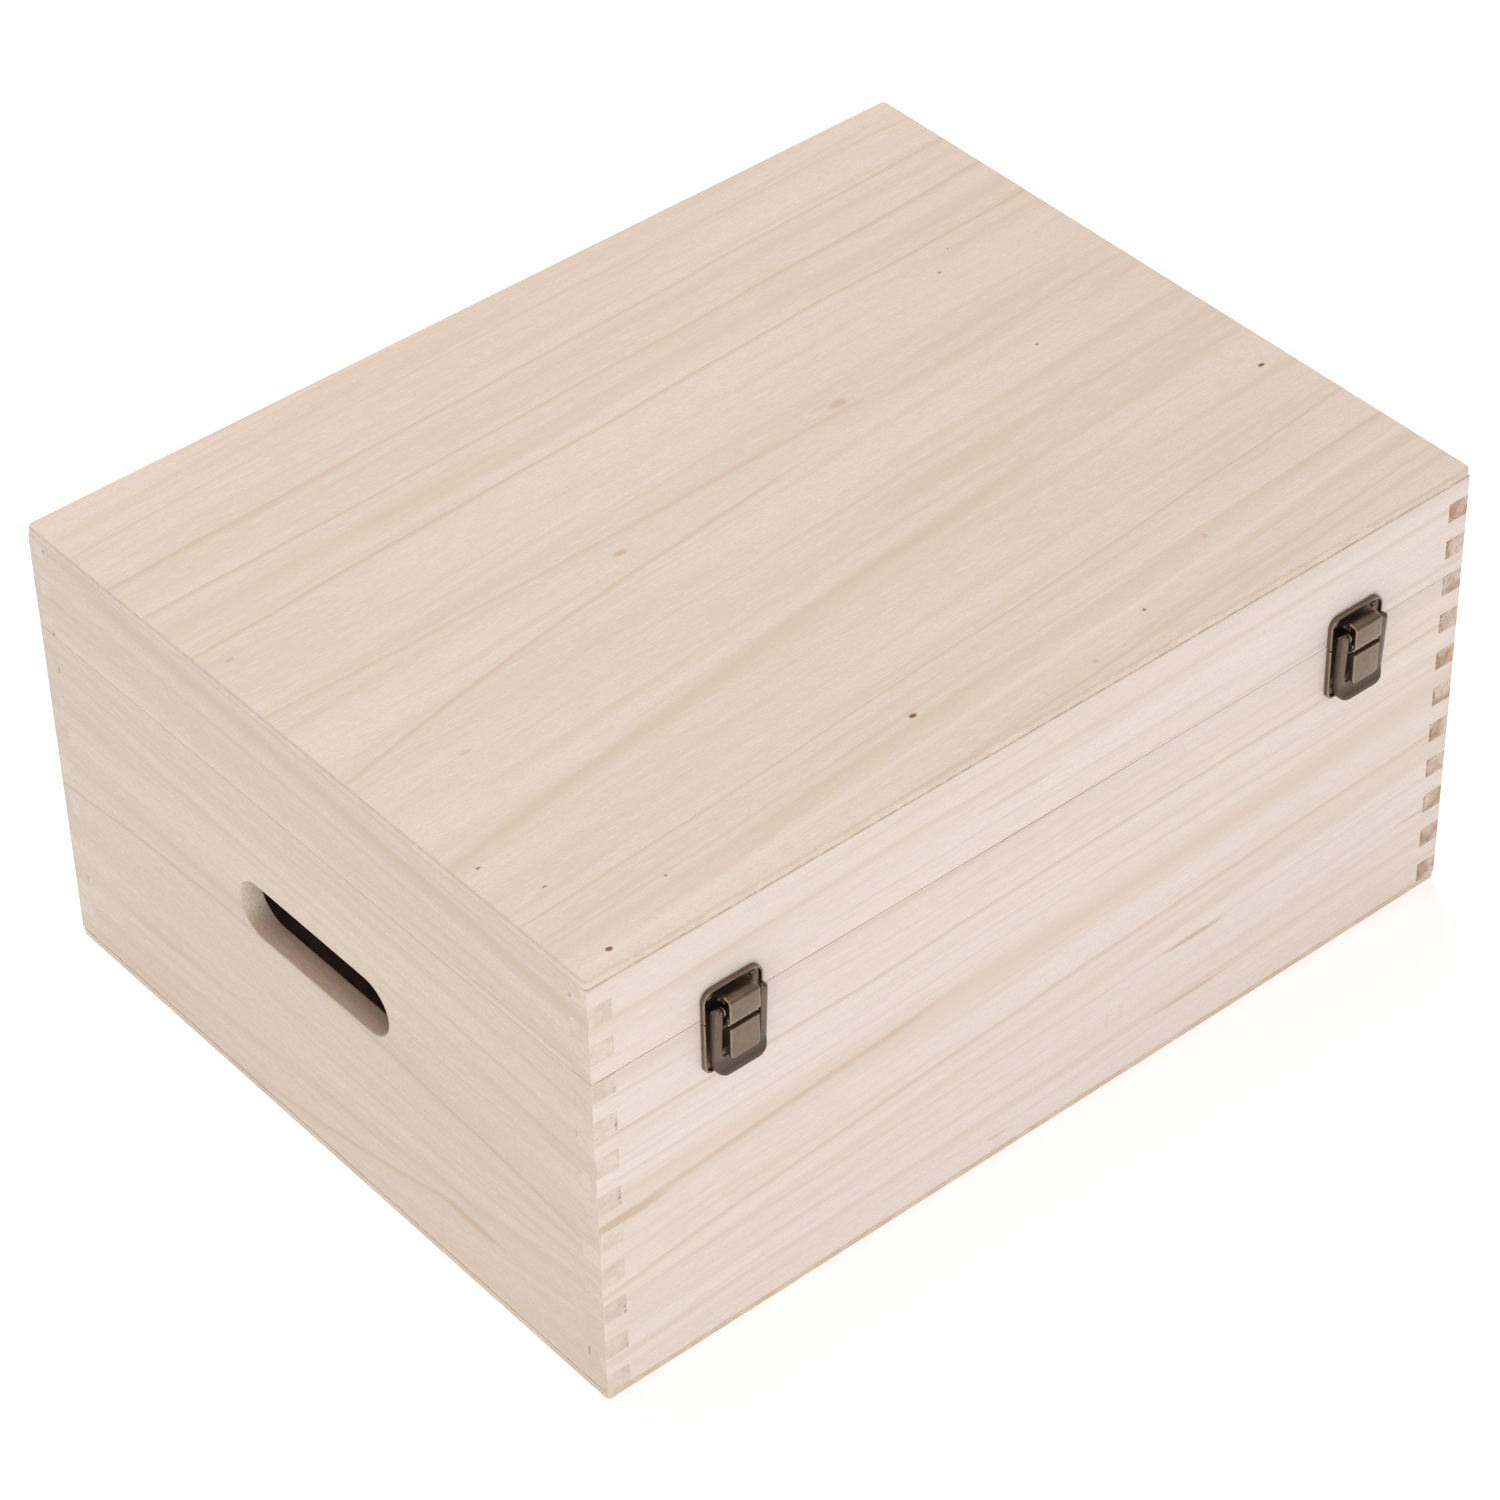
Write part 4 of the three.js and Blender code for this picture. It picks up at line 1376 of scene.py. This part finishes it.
TOP_LINES = (
    GrowthLine(26, 18, 15.5, 2.0, 0.35),
    GrowthLine(49.5, 42.3, 35, 2.2, 0.6),
    GrowthLine(71, 64.5, 56, 1.8, 0.65),
    GrowthLine(83, 76, 68, 9.0, 0.3),
    GrowthLine(99, 88.8, 81, 2.0, 0.7),
    GrowthLine(141, 141, 137, 2.5, 0.45, -1.0, 0.72),
    GrowthLine(185, 156, 147, 2.4, 0.6, -1.0, 0.62),
    GrowthLine(242, 215, 200, 9.0, 0.5, -1.0, 0.75),
    GrowthLine(278, 265, 249, 1.4, 0.6),
    GrowthLine(291, 279, 268, 1.6, 0.3),
    GrowthLine(296, 284, 268, 7.0, 0.35),
    GrowthLine(307, 293, 279, 3.5, -0.55),
    GrowthLine(318, 308, 294, 1.6, 0.4),
    GrowthLine(186, 178, 166, 6.0, 0.35, 0.55),
)

TOP_KNOTS = (
    PinKnot(163, 283, 3.4, 2.4),
    PinKnot(15.4, 304.5, 3.0, 2.2),
    PinKnot(387.2, 220.2, 3.4, 2.0),
    PinKnot(7.8, 247, 2.0, 1.2, 0.8),
    PinKnot(18.3, 268, 2.2, 1.2, 0.7),
    PinKnot(51, 289.6, 1.4, 1.2, 0.6),
    PinKnot(259, 293.6, 1.8, 1.4, 0.8),
    PinKnot(339, 100.2, 1.8, 1.3, 0.8),
    PinKnot(335.4, 157, 1.8, 1.3, 0.8),
    PinKnot(351.5, 90.8, 1.2, 1.0, 0.5),
)

TOP_FLECKS = (
    PinKnot(145, 151, 7.0, 3.0, 0.8),
    PinKnot(9.6, 108.2, 3.4, 2.0, 0.8),
    PinKnot(258, 136, 9.0, 4.0, 0.6),
    PinKnot(302.6, 278, 2.6, 2.2, 0.7),
    PinKnot(228, 302.5, 3.0, 2.4, 0.5),
    PinKnot(40, 199, 6.0, 2.0, 0.5),
)

FRONT_LINES = (
    GrowthLine(21, 18, 13.5, 3.6, 0.4),
    GrowthLine(34.5, 34.4, 32, 1.4, 0.4, 0.2, 0.8),
    GrowthLine(46.3, 44.8, 39, 2.4, 0.45, 0.2),
    GrowthLine(55.5, 57, 51.5, 1.8, 0.3),
    GrowthLine(72.5, 71, 66, 2.4, 0.75),
    GrowthLine(84, 82, 79, 1.6, 0.3),
    GrowthLine(93, 89.5, 86, 1.6, 0.32),
    GrowthLine(102, 101, 95.5, 15.0, 0.4),
    GrowthLine(112, 98.5, 92, 4.0, 0.8, -1.0, 0.42),
    GrowthLine(144, 127.5, 119, 2.8, 0.65),
    GrowthLine(152, 138, 128, 6.0, 0.3),
    GrowthLine(148.5, 147, 138, 1.8, 0.28),
    GrowthLine(162, 164, 160, 4.0, 0.22),
    GrowthLine(176, 172.5, 170, 4.0, 0.35),
    GrowthLine(183, 181, 179.5, 1.4, 0.2),
)

FRONT_FLECKS = (
    PinKnot(272, 146, 32.0, 2.6, 0.8),
    PinKnot(270, 173.6, 38.0, 2.4, 0.6),
    PinKnot(177.5, 184.6, 11.0, 2.0, 0.45),
    PinKnot(390, 155, 34.0, 1.8, 0.5),
    PinKnot(8, 112.4, 46.0, 5.0, 0.7),
    PinKnot(230, 162, 3.0, 8.0, 0.18),
    PinKnot(237, 161, 3.0, 7.0, 0.2),
    PinKnot(185, 27, 40.0, 2.4, 0.35),
)

LEFT_LINES = (
    GrowthLine(10, 12, 18, 8.0, 0.4, 0.05),
    GrowthLine(44, 43.5, 41, 2.0, 0.7, 0.72),
    GrowthLine(51, 54, 59, 1.6, 0.22),
    GrowthLine(60, 66, 75, 2.0, 0.22),
    GrowthLine(74, 77, 86, 2.0, 0.25),
    GrowthLine(97, 92, 90, 1.6, 0.2),
    GrowthLine(118.8, 110.5, 124, 1.9, 0.7),
    GrowthLine(165, 152, 140, 5.0, -0.3),
    GrowthLine(200, 180, 133, 2.6, 0.55, 0.3, 0.8),
    GrowthLine(205, 186, 158, 3.0, -0.35, 0.35),
    GrowthLine(175, 163, 142, 6.0, 0.3),
)

LEFT_FLECKS = (
    PinKnot(240, 163.5, 34.0, 4.2, 0.7),
    PinKnot(143, 11.6, 3.0, 2.2, 0.6),
)


# Each brass has an edge colour for rubbing and painted highlight, and a dark colour for tarnished patina and
# painted shade.
PLATE_BRASS = BrassFinish("antique_brass", plate=(0.225, 0.168, 0.124), wearing_and_highlight=(0.80, 0.57, 0.33),
                          tarnish_and_shade=(0.15, 0.114, 0.084), roughness=0.33, wear_and_sheen=1.0)
DARK_BRASS = BrassFinish("dark_brass", plate=(0.15, 0.11, 0.085), wearing_and_highlight=(0.40, 0.30, 0.20),
                         tarnish_and_shade=(0.03, 0.022, 0.018), roughness=0.34, wear_and_sheen=0.5, seed=0.4)
# The lever brass paints shade on the lever's lower lip, from 134.6 mm down to 131.6 mm.
LEVER_BRASS = BrassFinish("lever_brass", plate=(0.165, 0.122, 0.094), wearing_and_highlight=(0.80, 0.60, 0.38),
                          tarnish_and_shade=(0.095, 0.072, 0.056), roughness=0.33, wear_and_sheen=0.9, seed=0.2,
                          lip_shade_heights=(134.6, 131.6))


@dataclass(frozen=True)
class Palette:
    """The box's wood finishes, whose pale colours carry painted light and shade from face to face."""

    # Painted light and shade in the brightness: the front colour is palest, the top colour a little darker
    # and the side colour darkest, as those faces are lit.
    top: Colour = from_srgb(231, 214, 199)
    front: Colour = from_srgb(236, 222, 214)
    side: Colour = from_srgb(222, 207, 193)

    @staticmethod
    def scattered(seed: int, count: int, height: float) -> tuple[GrowthLine, ...]:
        """Growth lines for a face that is out of the way.

        Args:
            seed: Where the chance numbers start.
            count: How many lines.
            height: The face's height, in millimetres.

        Returns:
            The lines.
        """
        chance = random.Random(seed)
        made = []
        for number in range(count):
            start = height * (number + chance.uniform(0.1, 0.9)) / count
            bow = chance.uniform(-4, 4)
            rise = chance.uniform(-9, 5)
            made.append(GrowthLine(start, start + rise / 2 + bow, start + rise, chance.uniform(1.4, 5.0),
                                   chance.uniform(0.25, 0.7)))
        return tuple(made)

    def woods(self, effects: Effects) -> dict[str, bpy.types.Material]:
        """Builds the wood finishes.

        Args:
            effects: The shared node groups.

        Returns:
            The materials by board.
        """
        finishes = {
            "top": WoodFinish("wood_top", Facing.TOP, 3.1, self.top, TOP_LINES, TOP_KNOTS, TOP_FLECKS,
                              slope=0.034, slope_gain=0.00013, spacing=5.5, ring_share=0.34,
                              band_share=1.0, contrast=1.2),
            "bottom": WoodFinish("wood_bottom", Facing.BOTTOM, 8.4, self.top,
                                 self.scattered(5, 9, 2 * HALF_DEPTH)),
            "front": WoodFinish("wood_front", Facing.FRONT, 12.7, self.front, FRONT_LINES, (), FRONT_FLECKS,
                                slope=0.008, slope_gain=0.0003, spacing=3.6, ring_share=0.29,
                                band_share=0.85),
            "back": WoodFinish("wood_back", Facing.BACK, 21.3, self.front, self.scattered(11, 10, HEIGHT),
                               slope=0.02, spacing=3.8),
            "left": WoodFinish("wood_left", Facing.LEFT, 33.9, self.side, LEFT_LINES, (), LEFT_FLECKS,
                               slope=-0.01, spacing=4.2, ring_share=0.36, band_share=0.95, contrast=1.4),
            "right": WoodFinish("wood_right", Facing.RIGHT, 41.6, self.side, self.scattered(17, 9, HEIGHT),
                                slope=0.03, spacing=4.2),
        }
        made = {name: finish.material(effects) for name, finish in finishes.items()}
        side_roots = {"root": 190.4, "root_axis": 0}
        front_roots = {"root": 146.4, "root_axis": 1}
        ends = {
            "left_end": EndGrainFinish("end_left", from_srgb(229, 214, 202), from_srgb(214, 197, 183),
                                       seed=0.3, stain=0.55, stain_from=0.5, **side_roots),
            "right_end": EndGrainFinish("end_right", from_srgb(224, 205, 190), from_srgb(176, 145, 122),
                                        seed=0.7, stain=0.75, stain_from=0.35, **side_roots),
            "front_end": EndGrainFinish("end_front", from_srgb(226, 211, 198), from_srgb(213, 197, 183),
                                        seed=1.1, stain=0.6, stain_from=0.55, **front_roots),
            "back_end": EndGrainFinish("end_back", from_srgb(226, 211, 198), from_srgb(212, 196, 182),
                                       seed=1.9, stain=0.6, stain_from=0.55, **front_roots),
            "bottom_end": EndGrainFinish("end_bottom", from_srgb(226, 208, 192), from_srgb(216, 196, 177),
                                         seed=2.3),
            "bottom_edge": EndGrainFinish("edge_bottom", from_srgb(226, 206, 188), from_srgb(214, 192, 170),
                                          seed=2.9),
            "top_end": EndGrainFinish("end_top", from_srgb(227, 211, 197), from_srgb(217, 201, 186),
                                      seed=3.7, ply=193.2, ply_colour=from_srgb(203, 185, 168)),
            "top_edge": EndGrainFinish("edge_top", from_srgb(231, 214, 198), from_srgb(223, 203, 184),
                                       seed=4.3, ply=190.4),
        }
        made["hole_wall"] = RoutedWallFinish("hole_wall", from_srgb(246, 231, 210),
                                             from_srgb(203, 173, 154)).material(effects)
        made.update({name: finish.material(effects) for name, finish in ends.items()})
        return made


# --------------------------------------------------------------------------------------------------
# Studio
# --------------------------------------------------------------------------------------------------


@dataclass
class SoftLight:
    """A studio soft box: where it stands, what it is aimed at and how bright it is, in metres and watts."""

    name: str
    place: tuple[float, float, float]
    size: float
    watts: float
    aim: tuple[float, float, float] = (0.0, 0.0, 0.08)

    def build(self) -> None:
        """Adds the light."""
        data = bpy.data.lights.new(self.name, "AREA")
        data.shape = "SQUARE"
        data.size = self.size
        data.energy = self.watts
        light = bpy.data.objects.new(self.name, data)
        light.location = self.place
        light.rotation_euler = (Vector(self.aim) - Vector(self.place)).to_track_quat("-Z", "Y").to_euler()
        bpy.context.scene.collection.objects.link(light)


@dataclass
class Studio:
    """The floor, the light and the camera: metres, degrees, and millimetres for the lens."""

    floor_half: float = 12.0
    floor_glow: float = 0.38
    floor_drop: float = 0.0005
    surround: float = 0.46
    azimuth: float = -39.388
    elevation: float = 40.663
    roll: float = -1.387
    distance: float = 1.84793
    target: tuple[float, float, float] = (-0.00832, -0.00640, 0.08497)
    lens: float = 122.19
    sensor: float = 36.0

    def floor(self) -> None:
        """Lays the plain pale floor."""
        bm = bmesh.new()
        bmesh.ops.create_grid(bm, x_segments=8, y_segments=8, size=self.floor_half)
        mesh = bpy.data.meshes.new("studio_floor")
        bm.to_mesh(mesh)
        bm.free()
        paint, tree = new_material("studio_white")
        tree.surface(Base_Color=(0.93, 0.93, 0.93), Roughness=0.9, Specular_IOR_Level=0.0,
                     Emission_Color=(1.0, 1.0, 1.0), Emission_Strength=self.floor_glow)
        mesh.materials.append(paint)
        piece = bpy.data.objects.new("studio_floor", mesh)
        piece.location.z = -self.floor_drop
        bpy.context.scene.collection.objects.link(piece)

    def lights(self) -> None:
        """Sets the even surround and the soft boxes."""
        world = bpy.data.worlds.new("studio")
        world.use_nodes = True
        sky = world.node_tree.nodes["Background"].inputs
        sky["Color"].default_value = (1.0, 1.0, 1.0, 1.0)
        sky["Strength"].default_value = self.surround
        bpy.context.scene.world = world
        for light in (
            SoftLight("soft_above", (0.1, 1.1, 2.2), 2.2, 32.6),
            SoftLight("soft_front", (-0.6, -1.9, 1.0), 0.9, 6.0),
            SoftLight("soft_left", (-1.7, -1.5, 1.4), 1.6, 8.8),
        ):
            light.build()

    def camera(self) -> None:
        """Sets the camera at its viewing angle."""
        around = math.radians(self.azimuth)
        up = math.radians(self.elevation)
        back = Vector((math.sin(around) * math.cos(up), -math.cos(around) * math.cos(up), math.sin(up)))
        data = bpy.data.cameras.new("camera")
        data.lens = self.lens
        data.sensor_width = self.sensor
        data.clip_start = 0.05
        data.clip_end = 50.0
        camera = bpy.data.objects.new("camera", data)
        level = (-back).to_track_quat("-Z", "Y").to_matrix().to_4x4()
        turn = level @ Matrix.Rotation(math.radians(self.roll), 4, "Z")
        camera.matrix_world = Matrix.Translation(Vector(self.target) + back * self.distance) @ turn
        bpy.context.scene.collection.objects.link(camera)
        bpy.context.scene.camera = camera

    def build(self) -> None:
        """Sets up the whole studio."""
        self.floor()
        self.lights()
        self.camera()
        bpy.context.scene.view_settings.view_transform = "Standard"


def main() -> None:
    """Builds the toy box and its studio."""
    logging.basicConfig(level=logging.INFO, format="%(name)s: %(message)s")
    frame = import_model()
    effects = Effects()
    woods = Palette().woods(effects)
    brass, dark, lever_brass = (finish.material(effects) for finish in (PLATE_BRASS, DARK_BRASS, LEVER_BRASS))
    Base(finishes=woods).build()
    Lid(finishes=woods).build()
    for side in ("left", "right"):
        ToggleLatch(side, brass, dark, lever_brass).build(frame)
        BackHinge(side, brass, dark).build(frame)
    Studio().build()


if __name__ == "__main__":
    main()
